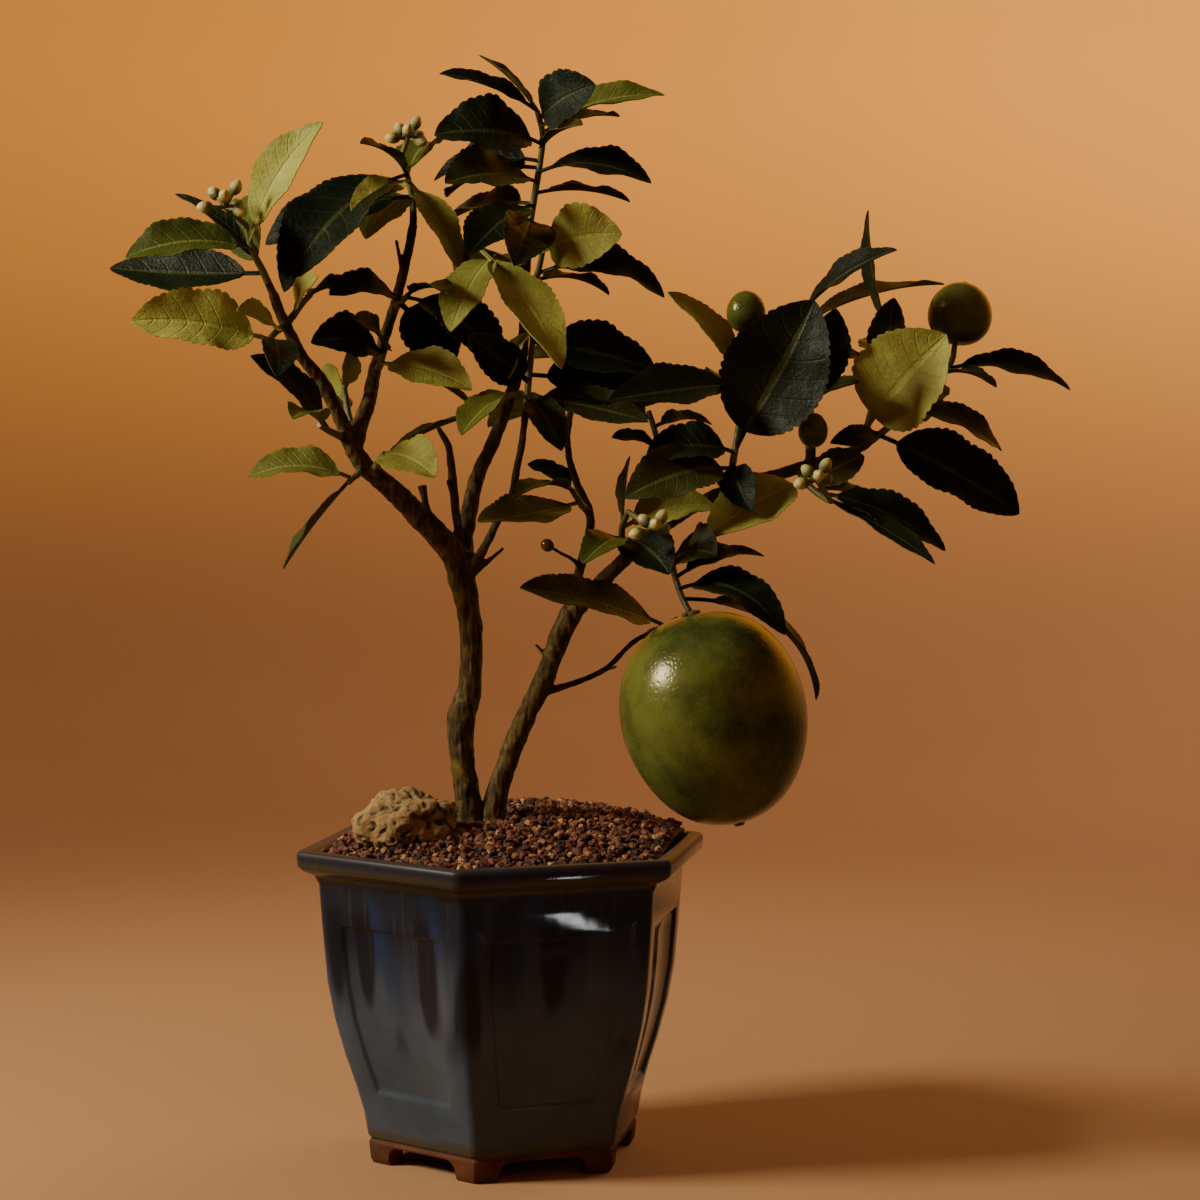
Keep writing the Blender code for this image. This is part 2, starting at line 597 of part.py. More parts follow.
def make_pot(parts):
    """A six-sided pot with a lip, sunk panels, corner feet and a drain hole."""
    pot = turned("pot", pot_profile(), POT_SIDES, parts)
    bm = bmesh.new()
    bm.from_mesh(pot.data)
    bmesh.ops.recalc_face_normals(bm, faces=bm.faces)
    corners = [
        edge for edge in bm.edges
        if all(v.co.xy.length > (FOOT_RADIUS - 0.1) * MM for v in edge.verts)
        and abs(edge.verts[0].co.z - edge.verts[1].co.z) > MM
        and edge.verts[0].co.xy.normalized().dot(edge.verts[1].co.xy.normalized()) > 0.999
        and all(f.normal.dot(Vector((*v.co.xy, 0))) > 0 for v in edge.verts for f in edge.link_faces)
        and min(v.co.z for v in edge.verts) > BEVEL_FROM * MM
    ]
    bmesh.ops.bevel(bm, geom=corners, offset=CORNER_ROUND * MM, segments=1, profile=0.6,
                    affect="EDGES", offset_type="OFFSET")
    for side in range(POT_SIDES):
        angle = (side + 0.5) * 2 * math.pi / POT_SIDES
        outward = Vector((math.cos(angle), math.sin(angle), 0.0))
        panel = [
            face for face in bm.faces
            if face.normal.dot(outward) > 0.85
            and PANEL_BOTTOM * MM < face.calc_center_median().z < PANEL_TOP * MM
            and face.calc_area() > 100 * MM * MM
            and face.calc_center_median().dot(outward) > 40 * MM
        ]
        bmesh.ops.inset_region(bm, faces=panel, thickness=PANEL_BORDER * MM, depth=0.0,
                               use_even_offset=True, use_boundary=True)
        bmesh.ops.inset_region(bm, faces=panel, thickness=PANEL_STEP * MM, depth=-PANEL_STEP * MM,
                               use_even_offset=True, use_boundary=True)
    bm.to_mesh(pot.data)
    bm.free()
    cutters = collection("pot cutters")
    for bar in range(POT_SIDES // 2):
        bm = bmesh.new()
        bmesh.ops.create_cube(bm, size=1.0)
        size = (3 * FOOT_RADIUS * MM, FOOT_OPENING * MM, 2 * FOOT_ARCH_HEIGHT * MM)
        bmesh.ops.scale(bm, verts=bm.verts, vec=size)
        top = [
            e for e in bm.edges
            if all(v.co.z > 0 for v in e.verts) and abs(e.verts[0].co.x - e.verts[1].co.x) > MM
        ]
        bmesh.ops.bevel(bm, geom=top, offset=FOOT_ARCH_ROUND * MM, segments=3, profile=0.5,
                        affect="EDGES")
        bmesh.ops.rotate(bm, verts=bm.verts, cent=(0, 0, 0),
                         matrix=Matrix.Rotation((bar + 0.5) * math.pi / 3, 3, "Z"))
        cutter_look(object_from(bm, "foot arch cutter", cutters))
    bm = bmesh.new()
    bmesh.ops.create_cone(bm, cap_ends=True, segments=16, radius1=DRAIN_RADIUS * MM,
                          radius2=DRAIN_RADIUS * MM, depth=30 * MM,
                          matrix=Matrix.Translation((0, 0, FLOOR_TOP * MM)))
    cutter_look(object_from(bm, "drain hole cutter", cutters))
    boolean(pot, "DIFFERENCE", cutters)
    pot.data.transform(Matrix.Rotation(POT_TURN, 4, "Z"))
    return finish(pot, "glazed clay", math.radians(28))


def make_screen(parts):
    """A square plastic screen that keeps the soil out of the drain hole."""
    bars = collection("screen bars")
    height = (FLOOR_TOP + GAP + SCREEN_THICK / 2) * MM
    pitch = (SCREEN_SIZE - SCREEN_BAR) / (SCREEN_BARS - 1)
    screen = None
    for way in (0, 1):
        for bar in range(SCREEN_BARS):
            offset = (bar - (SCREEN_BARS - 1) / 2) * pitch * MM
            bm = bmesh.new()
            bmesh.ops.create_cube(bm, size=1.0)
            size = (SCREEN_SIZE * MM, SCREEN_BAR * MM, SCREEN_THICK * MM)
            bmesh.ops.scale(bm, verts=bm.verts, vec=size)
            bmesh.ops.translate(bm, verts=bm.verts, vec=(0, offset, height))
            quarter = Matrix.Rotation(way * math.pi / 2, 3, "Z")
            bmesh.ops.rotate(bm, verts=bm.verts, cent=(0, 0, 0), matrix=quarter)
            if screen is None:
                screen = object_from(bm, "drain_screen", parts)
            else:
                object_from(bm, "screen bar", bars)
    boolean(screen, "UNION", bars)
    return finish(screen, "plastic screen")


def root_body(group, name, grow, top, bottom):
    """The tapering oval rootstock, or with grow the plain hole that it stands in."""
    slope = ROOT_TAPER / (ROOT_TOP - ROOT_BOTTOM)
    narrow = 1.0 - slope * (ROOT_TOP - bottom)
    wide = 1.0 + slope * (top - ROOT_TOP)
    bm = bmesh.new()
    bmesh.ops.create_cone(bm, cap_ends=True, segments=ROOT_SIDES, radius1=narrow, radius2=wide,
                          depth=1.0)
    size = ((ROOT_RADII[0] + grow) * MM, (ROOT_RADII[1] + grow) * MM, (top - bottom) * MM)
    bmesh.ops.scale(bm, verts=bm.verts, vec=size)
    middle = Vector((*ROOT_AT, (top + bottom) / 2)) * MM
    bmesh.ops.translate(bm, verts=bm.verts, vec=middle)
    return object_from(bm, name, group)


def root_hole(group):
    """The hole for the rootstock, wider by the gap and open at the top."""
    hole = root_body(group, "root hole cutter", ROUND_GAP, ROOT_HOLE_TOP, ROOT_BOTTOM - GAP)
    return cutter_look(hole)


def inner_radius(height):
    """Corner radius of the pot's inside at a height, less the gap."""
    for (r0, z0), (r1, z1) in zip(POT_INSIDE, POT_INSIDE[1:]):
        if height <= z1:
            break
    return r0 + (r1 - r0) * (height - z0) / (z1 - z0) - SIDE_GAP


def make_soil(parts):
    """Soil from the pot's floor up to the gravel, with holes for screen and root."""
    foot = FLOOR_TOP + GAP
    heights = [foot] + [z for r, z in POT_INSIDE if foot < z < SOIL_TOP - 1] + [SOIL_TOP]
    profile = [(0, SOIL_TOP)] + [(inner_radius(z), z) for z in reversed(heights)] + [(0, foot)]
    soil = turned("soil", profile, POT_SIDES, parts, POT_TURN)
    cutters = collection("soil cutters")
    root_hole(cutters)
    bm = bmesh.new()
    bmesh.ops.create_cube(bm, size=1.0)
    side = (SCREEN_SIZE + 2 * GAP) * MM
    bmesh.ops.scale(bm, verts=bm.verts, vec=(side, side, 2 * (SCREEN_THICK + 2 * GAP) * MM))
    bmesh.ops.translate(bm, verts=bm.verts, vec=(0, 0, FLOOR_TOP * MM))
    cutter_look(object_from(bm, "screen cutter", cutters))
    boolean(soil, "DIFFERENCE", cutters)
    return finish(soil, "soil")


def mound(x, y):
    """Height of the gravel in mm over a point, without its grains."""
    away = math.hypot(x - GRAVEL_PEAK_AT[0], y - GRAVEL_PEAK_AT[1]) / GRAVEL_REACH
    return GRAVEL_EDGE + (GRAVEL_PEAK - GRAVEL_EDGE) * max(0.0, 1 - away ** 2)


def make_gravel(parts):
    """A heaped layer of grains: a six-sided sheet, lumpy on top and flat below."""
    draw = random.Random(GRAVEL_SEED)
    edge_radius = inner_radius(GRAVEL_EDGE)
    bm = bmesh.new()
    corner_first = Matrix.Rotation(math.pi / POT_SIDES, 4, "Z")
    bmesh.ops.create_circle(bm, cap_ends=True, cap_tris=True, segments=POT_SIDES,
                            radius=edge_radius * MM, matrix=corner_first)
    bmesh.ops.subdivide_edges(bm, edges=bm.edges[:], cuts=GRAVEL_CUTS, use_grid_fill=True)
    bmesh.ops.triangulate(bm, faces=bm.faces)
    rim = [e for e in bm.edges if e.is_boundary]
    border = {v for e in rim for v in e.verts}
    pitch = edge_radius / (GRAVEL_CUTS + 1)
    for v in bm.verts:
        x, y = v.co.x / MM, v.co.y / MM
        if v in border:
            height = GRAVEL_EDGE - draw.uniform(0.0, 1.0)
            v.co *= inner_radius(height) / edge_radius
            v.co.z = height * MM
            continue
        up_row = y / (pitch * math.sin(math.pi / 3))
        along_row = x / pitch - up_row / 2
        on_grain = round(along_row - up_row) % 3 == 0
        lump = (GRAIN_RELIEF if on_grain else -GRAIN_SINK) * draw.uniform(0.5, 1.2)
        shift = GRAIN_SHIFT * pitch
        v.co.x += draw.uniform(-shift, shift) * MM
        v.co.y += draw.uniform(-shift, shift) * MM
        v.co.z = (mound(x, y) + lump) * MM
    sides = bmesh.ops.extrude_edge_only(bm, edges=rim)
    low = [v for v in sides["geom"] if isinstance(v, bmesh.types.BMVert)]
    for v in low:
        height = v.co.z / MM
        v.co *= inner_radius(SOIL_TOP + GAP) / inner_radius(height)
        v.co.z = (SOIL_TOP + GAP) * MM
    foot = [e for e in bm.edges if e.is_boundary]
    bmesh.ops.contextual_create(bm, geom=foot)
    gravel = object_from(bm, "gravel", parts)
    gravel.data.transform(Matrix.Rotation(POT_TURN, 4, "Z"))
    cutters = collection("gravel cutters")
    root_hole(cutters)
    cutter_look(stone_body(cutters, "stone pocket cutter", ROUND_GAP))
    boolean(gravel, "DIFFERENCE", cutters)
    return finish(gravel, "gravel", math.radians(15))


def stone_body(group, name, grow):
    """A rough rounded lump with pits; grow widens it all round for its pocket."""
    bm = bmesh.new()
    bmesh.ops.create_icosphere(bm, subdivisions=3, radius=1.0)
    middle = Vector(STONE_AT) * MM
    for v in bm.verts:
        way = v.co.normalized()
        lump = STONE_LUMPS[1] * noise.noise(way * STONE_LUMPS[0] + Vector((STONE_SEED, 0, 0)))
        pit = STONE_PITS[1] * noise.noise(way * STONE_PITS[0] + Vector((0, STONE_SEED, 0)))
        rough = 1.0 + lump + pit
        body = Vector((way.x * STONE_RADII[0], way.y * STONE_RADII[1], way.z * STONE_RADII[2])) * rough
        v.co = middle + (body + body.normalized() * grow) * MM
    return object_from(bm, name, group)


def make_stone(parts):
    return finish(stone_body(parts, "stone", 0.0), "stone", math.radians(25))


def wood_path(points):
    """Points and radii along a woody limb, in metres."""
    return smooth_path([(*seen(x, z, y), r * MM) for x, z, y, r in points], 13 * MM)


def make_wood(parts):
    """Rootstock, stems, limbs and bare twigs, grown together, with stubs for the shoots."""
    limbs = collection("limbs")
    wood = root_body(parts, "trunk_and_limbs", 0.0, ROOT_TOP, ROOT_BOTTOM)
    for name, points in WOOD.items():
        rows = wood_path(points)
        thick = max(p[3] for p in points) > 3.0
        tube(name, [r.xyz for r in rows], [r[3] / MM for r in rows], limbs, 2 if thick else 1)
    for name, points in SHOOTS.items():
        start, end, way = shoot_stub(points)
        tube(name + " stub", [start, end], [SHOOT_RADIUS + 0.1, SHOOT_RADIUS], limbs, 0)
    boolean(wood, "UNION", limbs)
    return finish(wood, "bark", simplify=False)


def shoot_stub(points):
    """Where the woody stub under a shoot starts and ends, and its direction."""
    start = seen(*points[0])
    way = (seen(*points[1]) - start).normalized()
    return start, start + way * STUB_LENGTH * MM, way


def shoot_path(points):
    """A shoot's axis: it leaves its stub in line and a gap above it."""
    start, end, way = shoot_stub(points)
    first = end + way * GAP * MM
    beyond = [seen(*p) for p in points[1:]]
    beyond = [p for p in beyond if (p - start).dot(way) > (STUB_LENGTH + 2.5) * MM]
    return smooth_path([first, first + way * MM] + beyond, 9 * MM)


def nearest_on(path, target, back):
    """The point of a path nearest to a target seen from the front, set back along it in mm."""
    lengths = [0.0]
    for a, b in zip(path, path[1:]):
        lengths.append(lengths[-1] + (b - a).length)
    best = None
    for i, (a, b) in enumerate(zip(path, path[1:])):
        for step in range(9):
            p = a.lerp(b, step / 8)
            share = (p.y / MM - EYE[1]) / -EYE[1]
            across = EYE[0] + (p.x / MM - EYE[0]) / share
            up = EYE[2] + (p.z / MM - EYE[2]) / share
            away = math.hypot(across - target[0], up - target[1])
            if best is None or away < best[0]:
                best = (away, lengths[i] + (p - a).length)
    at = min(max(best[1] - back * MM, (ROOT_CLEAR + back) * MM), lengths[-1] - ROOT_BACK * MM)
    for i, (a, b) in enumerate(zip(path, path[1:])):
        if at <= lengths[i + 1] or i == len(path) - 2:
            return a.lerp(b, (at - lengths[i]) / (lengths[i + 1] - lengths[i]))


def blade_shape(share):
    """Half width of a leaf blade along its length, 0 to 1, widest before the middle."""
    rise, fall = 0.62, 0.80
    top = rise / (rise + fall)
    return (share / top) ** rise * ((1 - share) / (1 - top)) ** fall


def leaf_point(row, side, root, tip, width, arch, face, ripple):
    """A point of a leaf: row 0 to 1 from root to tip, side -1 to 1 across it."""
    chord = tip - root
    along = chord.normalized()
    up = Vector(face)
    up = (up - along * up.dot(along)).normalized()
    across = along.cross(up)
    bend = root + chord * 0.5 + up * 2 * arch * MM
    place = root * (1 - row) ** 2 + bend * 2 * row * (1 - row) + tip * row ** 2
    run = ((bend - root) * (1 - row) + (tip - bend) * row).normalized()
    raised = (up - run * up.dot(run)).normalized()
    if row <= STALK_SHARE:
        return place + across * side * STALK_HALF_WIDTH * MM
    share = (row - STALK_SHARE) / (1 - STALK_SHARE)
    half = max(width / 2 * blade_shape(share), 0.0)
    wave = LEAF_WAVE * width * 4 * share * (1 - share) * math.sin(9 * share + ripple)
    lift = LEAF_FOLD * half * abs(side) + wave * side
    return place + (across * side * half + raised * lift) * MM


def make_leaf(name, root, tip, width, arch, face, ripple, group):
    """A folded, toothed blade on its stalk: a sheet split into triangles, then given thickness."""
    rows = next(count for least, count in LEAF_ROWS if width >= least)
    bm = bmesh.new()
    bmesh.ops.create_grid(bm, x_segments=2, y_segments=rows + 1, size=1.0)
    for v in bm.verts:
        step = round((v.co.y + 1) / 2 * (rows + 1))
        side = round(v.co.x)
        row = 0.0 if step == 0 else STALK_SHARE + (1 - STALK_SHARE) * (step - 1) / rows
        notch = TOOTH_NOTCH if side and step % 2 == 0 else 1.0
        if step == rows + 1:
            row = 1.0
        v.co = leaf_point(row, side, root, tip, width * notch, arch, face, ripple)
    bmesh.ops.remove_doubles(bm, verts=bm.verts, dist=MM * 0.02)
    bmesh.ops.triangulate(bm, faces=bm.faces)
    leaf = object_from(bm, name, group)
    solid = leaf.modifiers.new("thickness", "SOLIDIFY")
    solid.thickness = LEAF_THICK * MM
    solid.offset = 0.0
    return bake(leaf)


def make_calyx(group):
    """The little green star that the large fruit hangs from."""
    crown = seen(*FRUIT_CROWN)
    axis = (crown - seen(*FRUIT_TIP)).normalized()
    bm = bmesh.new()
    bmesh.ops.create_cone(bm, cap_ends=True, segments=2 * CALYX_POINTS, radius1=CALYX_RADIUS * MM,
                          radius2=CALYX_TOP_RADIUS * MM, depth=CALYX_HEIGHT * MM)
    for v in bm.verts:
        if v.co.z < 0 and round(math.atan2(v.co.y, v.co.x) / math.pi * CALYX_POINTS) % 2:
            v.co.xy *= 0.66
    turn = Vector((0, 0, 1)).rotation_difference(axis).to_matrix().to_4x4()
    bmesh.ops.transform(bm, verts=bm.verts, matrix=Matrix.Translation(crown + axis * 0.3 * MM) @ turn)
    return object_from(bm, "calyx", group)


def make_shoots(parts):
    """Each green shoot with its leaves grown on it.

    The exact solver leaves open edges where thin blades meet, so these joins use MANIFOLD.
    """
    for name, points in SHOOTS.items():
        path = shoot_path(points)
        last = len(path) - 1
        taper = [SHOOT_RADIUS + (SHOOT_TIP_RADIUS - SHOOT_RADIUS) * i / last for i in range(last + 1)]
        shoot = tube(name, path, taper, parts, 1)
        blades = collection(name + " leaves")
        for number, row in enumerate(LEAVES[name]):
            root_x, root_z, tip_x, tip_z, tip_y, width, arch, face = row
            root = nearest_on(path, (root_x, root_z), ROOT_BACK + ROOT_BACK_EACH * number)
            tip = seen(tip_x, tip_z, tip_y)
            make_leaf(f"leaf {number}", root, tip, width, arch, face, number * 1.7, blades)
        if name == "shoot_fruit":
            make_calyx(blades)
        boolean(shoot, "UNION", blades, "MANIFOLD")
        finish(shoot, "leaf", math.radians(50))


def make_buds(parts):
    """Clusters of oval flower buds on short stalks."""
    draw = random.Random(BUD_SEED)
    for name, (shoot, middle, spread, count) in BUDS.items():
        pieces = collection(name + " buds")
        before, end = stalk_end(shoot)
        way = (end - before).normalized()
        start = end + way * GAP * MM
        heart = seen(*middle)
        cluster = tube(name, [start, start + way * BUD_STEM * MM, heart], [1.0, 1.2, 1.3], parts, 1)
        for number in range(count):
            turn = number * BUD_TURN
            rise = 1 - 1.35 * (number + 0.5) / count
            flat = math.sqrt(1 - rise * rise)
            way = Vector((flat * math.cos(turn), flat * math.sin(turn), rise))
            end = heart + way * spread * draw.uniform(0.85, 1.15) * MM
            tube("bud stalk", [heart, end], [BUD_STALK_RADIUS, BUD_STALK_RADIUS], pieces, 0)
            bm = bmesh.new()
            bmesh.ops.create_uvsphere(bm, u_segments=5, v_segments=3, radius=BUD_RADIUS * MM)
            bmesh.ops.scale(bm, verts=bm.verts, vec=(1, 1, BUD_LENGTHEN))
            tilt = Vector((0, 0, 1)).rotation_difference(way).to_matrix().to_4x4()
            bmesh.ops.transform(bm, verts=bm.verts, matrix=Matrix.Translation(end) @ tilt)
            object_from(bm, "bud", pieces)
        boolean(cluster, "UNION", pieces, "MANIFOLD")
        finish(cluster, "bud", simplify=False)


def fruit_profile(length, radius, points):
    """Radius and height of a fruit that hangs from 0 down to -length, with a small nipple."""
    rows = [(0, -1.2), (radius * 0.14, -0.9)]
    for i in range(1, points):
        angle = math.pi * i / points
        share = (1 - math.cos(angle)) / 2
        round_part = radius * math.sin(angle) ** 0.92 * (1 + 0.05 * math.cos(angle))
        rows.append((round_part, -length * 0.985 * share))
    rows.append((radius * 0.05, -length))
    rows.append((0, -length))
    return rows


def place_fruit(fruit, crown, tip):
    """Set a fruit that hangs from the origin to its stalk and point it at its tip."""
    axis = (crown - tip).normalized()
    turn = Vector((0, 0, 1)).rotation_difference(axis).to_matrix().to_4x4()
    fruit.data.transform(Matrix.Translation(crown) @ turn)
    return fruit


def stalk_end(name):
    """The last two points of the shoot or woody twig that a fruit sits on."""
    if name in SHOOTS:
        return shoot_path(SHOOTS[name])[-2:]
    return [row.xyz for row in wood_path(WOOD[name])[-2:]]


def make_fruits(parts):
    """The large fruit under its calyx and the small ones, each a gap off its stalk."""
    crown = seen(*FRUIT_CROWN)
    tip = seen(*FRUIT_TIP)
    length = (crown - tip).length / MM
    fruit = turned("large_fruit", fruit_profile(length, FRUIT_RADIUS, FRUIT_ROWS), FRUIT_STEPS, parts)
    finish(place_fruit(fruit, crown, tip), "fruit skin")
    for name, (stalk, length, radius) in SMALL_FRUITS.items():
        before, end = stalk_end(stalk)
        way = (end - before).normalized()
        profile = [(0, 0), (FRUIT_STALK_FACE, 0)] + fruit_profile(length, radius, SMALL_FRUIT_ROWS)[2:]
        fruit = turned(name, profile, SMALL_FRUIT_STEPS, parts)
        crown = end + way * GAP * MM
        finish(place_fruit(fruit, crown, crown + way), "fruit skin")


def centre_on_base(parts):
    """Move everything so that the origin is under the middle of the whole, at its feet."""
    corners = [item.matrix_world @ Vector(c) for item in parts.objects for c in item.bound_box]
    low = Vector((min(c[i] for c in corners) for i in range(3)))
    high = Vector((max(c[i] for c in corners) for i in range(3)))
    shift = Matrix.Translation((-(low.x + high.x) / 2, -(low.y + high.y) / 2, -low.z))
    for item in parts.objects:
        item.data.transform(shift)


def main():
    clear_scene()
    parts = collection("citrus_bonsai")
    make_pot(parts)
    make_screen(parts)
    make_soil(parts)
    make_gravel(parts)
    make_stone(parts)
    make_wood(parts)
    make_shoots(parts)
    make_buds(parts)
    make_fruits(parts)
    centre_on_base(parts)


main()
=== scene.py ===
"""Dresses the citrus bonsai: fine leaves, bark, gravel, stone, fruit and glaze, light and camera.

The plant's tables are the ones that its solids were made from, in millimetres. Points are
(x, z, y): across and up as they look from the front in the plane of the rootstock, then the
depth, where minus is nearer to the eye.
"""

import math
import random

import bpy
import numpy as np
from bpy.props import FloatProperty, FloatVectorProperty, IntProperty, PointerProperty
from mathutils import Matrix, Vector, noise


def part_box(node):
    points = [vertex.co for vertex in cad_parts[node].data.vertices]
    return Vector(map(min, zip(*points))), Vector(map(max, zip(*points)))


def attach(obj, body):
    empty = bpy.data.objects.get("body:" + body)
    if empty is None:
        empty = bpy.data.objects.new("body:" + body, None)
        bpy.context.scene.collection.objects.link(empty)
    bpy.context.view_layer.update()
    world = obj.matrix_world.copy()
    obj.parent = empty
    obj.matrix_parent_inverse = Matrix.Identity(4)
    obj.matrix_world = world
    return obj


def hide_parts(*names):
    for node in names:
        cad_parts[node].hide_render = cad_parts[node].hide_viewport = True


bl_info = {
    "name": "Citrus Bonsai",
    "version": (1, 0, 0),
    "blender": (4, 5, 0),
    "location": "View3D > Sidebar > Bonsai",
    "description": "Builds the look of a potted citrus bonsai round its solid model",
    "category": "Object",
}

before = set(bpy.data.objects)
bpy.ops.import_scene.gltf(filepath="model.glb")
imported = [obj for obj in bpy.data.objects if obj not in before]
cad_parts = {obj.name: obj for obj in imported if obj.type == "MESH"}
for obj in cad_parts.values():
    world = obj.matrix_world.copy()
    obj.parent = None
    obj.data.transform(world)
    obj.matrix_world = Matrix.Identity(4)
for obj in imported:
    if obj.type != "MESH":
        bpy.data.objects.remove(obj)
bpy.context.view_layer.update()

MM = 0.001

# The eye in front of the plant, in mm from the pot's axis on the ground, and how it looks
EYE = (36.6, -1150.0, 276.0)
POT_LOW, POT_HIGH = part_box("pot")
AXIS = Vector(((POT_LOW.x + POT_HIGH.x) / 2, (POT_LOW.y + POT_HIGH.y) / 2, 0.0))
FRAME_PIXELS = 1200
EYE_PIXELS = 3025
EYE_DOWN = math.radians(3.17)
SENSOR = 36.0

# Stage: a round paper bowl, in metres
BOWL_RADIUS = 2.0
BOWL_HEIGHT = 3.2
BOWL_SIDES = 128
BOWL_ROUND_STEPS = 24

# Lights: where each stands, what it aims at, its size in metres and its colour
HEART = AXIS + Vector((0.03, 0.0, 0.24))
LIGHTS = {
    "key_light": (HEART + Vector((-1.1, -0.32, 0.6)), HEART, 0.32, (1.0, 0.9, 0.73)),
    "fill_light": (HEART + Vector((0.9, -1.2, 0.5)), HEART, 1.0, (0.7, 0.86, 1.0)),
    "backdrop_light": (
        AXIS + Vector((0.75, 0.7, 1.25)), AXIS + Vector((0.7, 2.0, 0.7)), 0.6, (1.0, 0.84, 0.55),
    ),
    "back_light": (HEART + Vector((1.1, 1.1, 0.85)), HEART, 1.2, (0.96, 0.96, 1.0)),
    "glint_light": (
        AXIS + Vector((0.206, -0.281, 0.02)), AXIS + Vector((0.025, -0.058, 0.097)), 0.02,
        (0.95, 0.97, 1.0),
    ),
}
GLINT_POWER = 0.0018
GLINT_SPREAD = math.radians(34.0)
ROOM_COLOUR = (0.88, 0.94, 1.0, 1.0)
ROOM_STRENGTH = 0.08

# Pot: corner radius and height of its six-sided rings, from the underside round to the floor
POT_SIDES = 6
POT_TURN = math.radians(-160.4)
POT_FOOT = ((45, 8), (44, 0), (52.4, 0), (53.4, 2), (54, 8))
POT_WALL = (
    (53.4, 9.4), (54.6, 10.4), (55.2, 13), (56.4, 20), (59.4, 30), (63.6, 42), (67.6, 56),
    (70.3, 70), (71.8, 86), (73, 101), (73.4, 107), (75.6, 110.5), (80, 112.5),
)
POT_LIP = ((81.7, 114), (82, 118), (81.7, 119.3), (80.5, 120), (77, 120), (75.8, 119.7))
POT_INSIDE = (
    (75, 119), (67.5, 109.5), (65.5, 100), (64, 75), (62, 58), (57.5, 40), (50, 19), (46, 15),
)

# Sunk panels: the heights between which a side's large face lies, the panel's border and depth,
# and what tells such a face from others: how far it looks outwards, its area and its reach
PANEL = (20.0, 101.0)
PANEL_BORDER = 8.0
PANEL_STEP = 1.3
PANEL_FACING = 0.85
PANEL_LEAST_AREA = 100.0
PANEL_LEAST_REACH = 40.0

# The pot's corners, the arches between its feet and its drain hole, with their cutters' lengths
CORNER_ROUND = 2.2
FOOT_OPENING = 34.0
FOOT_ARCH_LENGTH = 170.0
FOOT_ARCH_HEIGHT = 7.2
FOOT_ARCH_ROUND = 4.5
DRAIN_RADIUS = 7.0
DRAIN_DEPTH = 30.0

# Heights between which the glaze changes, in metres: first where a change has no effect yet
GLAZE_DEEP = (0.078, 0.122)
GLAZE_BLUE = (0.085, 0.115)
TEARS_FOOT = (0.04, 0.06)
TEARS_HEAD = (0.105, 0.095)
BLOOM_RISE = (0.03, 0.108)
LIP_EDGES = ((0.1185, 0.1125), (0.108, 0.1105))
RIM_FACE = (0.1165, 0.119)
WORN_FOOT = (0.0165, 0.0135)
BARE_CLAY = (0.0104, 0.0096)

# Gravel: corner radius and height at the rim, height and place of the peak, and its foot
GRAVEL_EDGE = (74.1, 118.5)
GRAVEL_FOOT = (67.7, 110.3)
GRAVEL_PEAK = 130.0
GRAVEL_PEAK_AT = (8.0, 22.0)
GRAVEL_REACH = 78.0
BED_CUTS = 20
BED_BELOW_GRAINS = 1.2
# The bed under the grains takes a dark grain tone: painted shade between the grains
BED_SHADE_TONE = 0.12

# Loose grains: shares of the usual size and height, lift over the heap and spread in mm, how
# they are roughened and broken, and the share of the stone's reach that stays clear of them
GRAIN_SEED = 7
GRAIN_KINDS = 5
GRAIN_SIZES = (0.72, 1.3)
GRAIN_HEIGHTS = (0.62, 0.95)
GRAIN_LIFTS = (-1.3, 0.9)
GRAIN_TILT = 0.6
GRAIN_SPREAD = 76.0
GRAIN_ROUGHNESS = 0.55
GRAIN_BREAKS = 3
GRAIN_BREAK_AT = 0.36
CLEAR_OF_STONE = 0.75

# Stone: how the noise of its ridges and holes runs over a millimetre, and how high its ridges are
RIDGE_GRAIN = 0.21
HOLE_GRAIN = 0.42
RIDGE_HEIGHT = 0.9

# Rootstock that both stems grow from
ROOT_AT = (-8.5, 0.0)
ROOT_RADII = (11.0, 7.5)
ROOT_HEIGHTS = (84.0, 128.0)
ROOT_TAPER = 0.18

# Bark: how the noise of its furrows and knobs runs over a millimetre, the knobs' height in mm,
# the shares of both that slender wood lacks, the radii of slender and thick wood in mm, and how
# many points of the skin are compared with the limbs at once
FURROW_GRAIN = (0.8, 0.8, 0.16)
KNOB_GRAIN = 0.24
KNOB_HEIGHT = 0.45
THIN_FURROWS = 0.55
THIN_KNOBS = 0.7
TWIG_RADIUS = 1.0
LIMB_RADIUS = 3.6
WOOD_BATCH = 2000

# Large fruit: crown where the stalk meets it, blossom end and radius, and the calyx on it
FRUIT_CROWN = (71.0, 207.0, -35.0)
FRUIT_TIP = (90.0, 126.0, -35.0)
FRUIT_RADIUS = 34.5
CALYX_RADIUS = 3.6
CALYX_THICKNESS = 1.2
CALYX_LOBES = 5

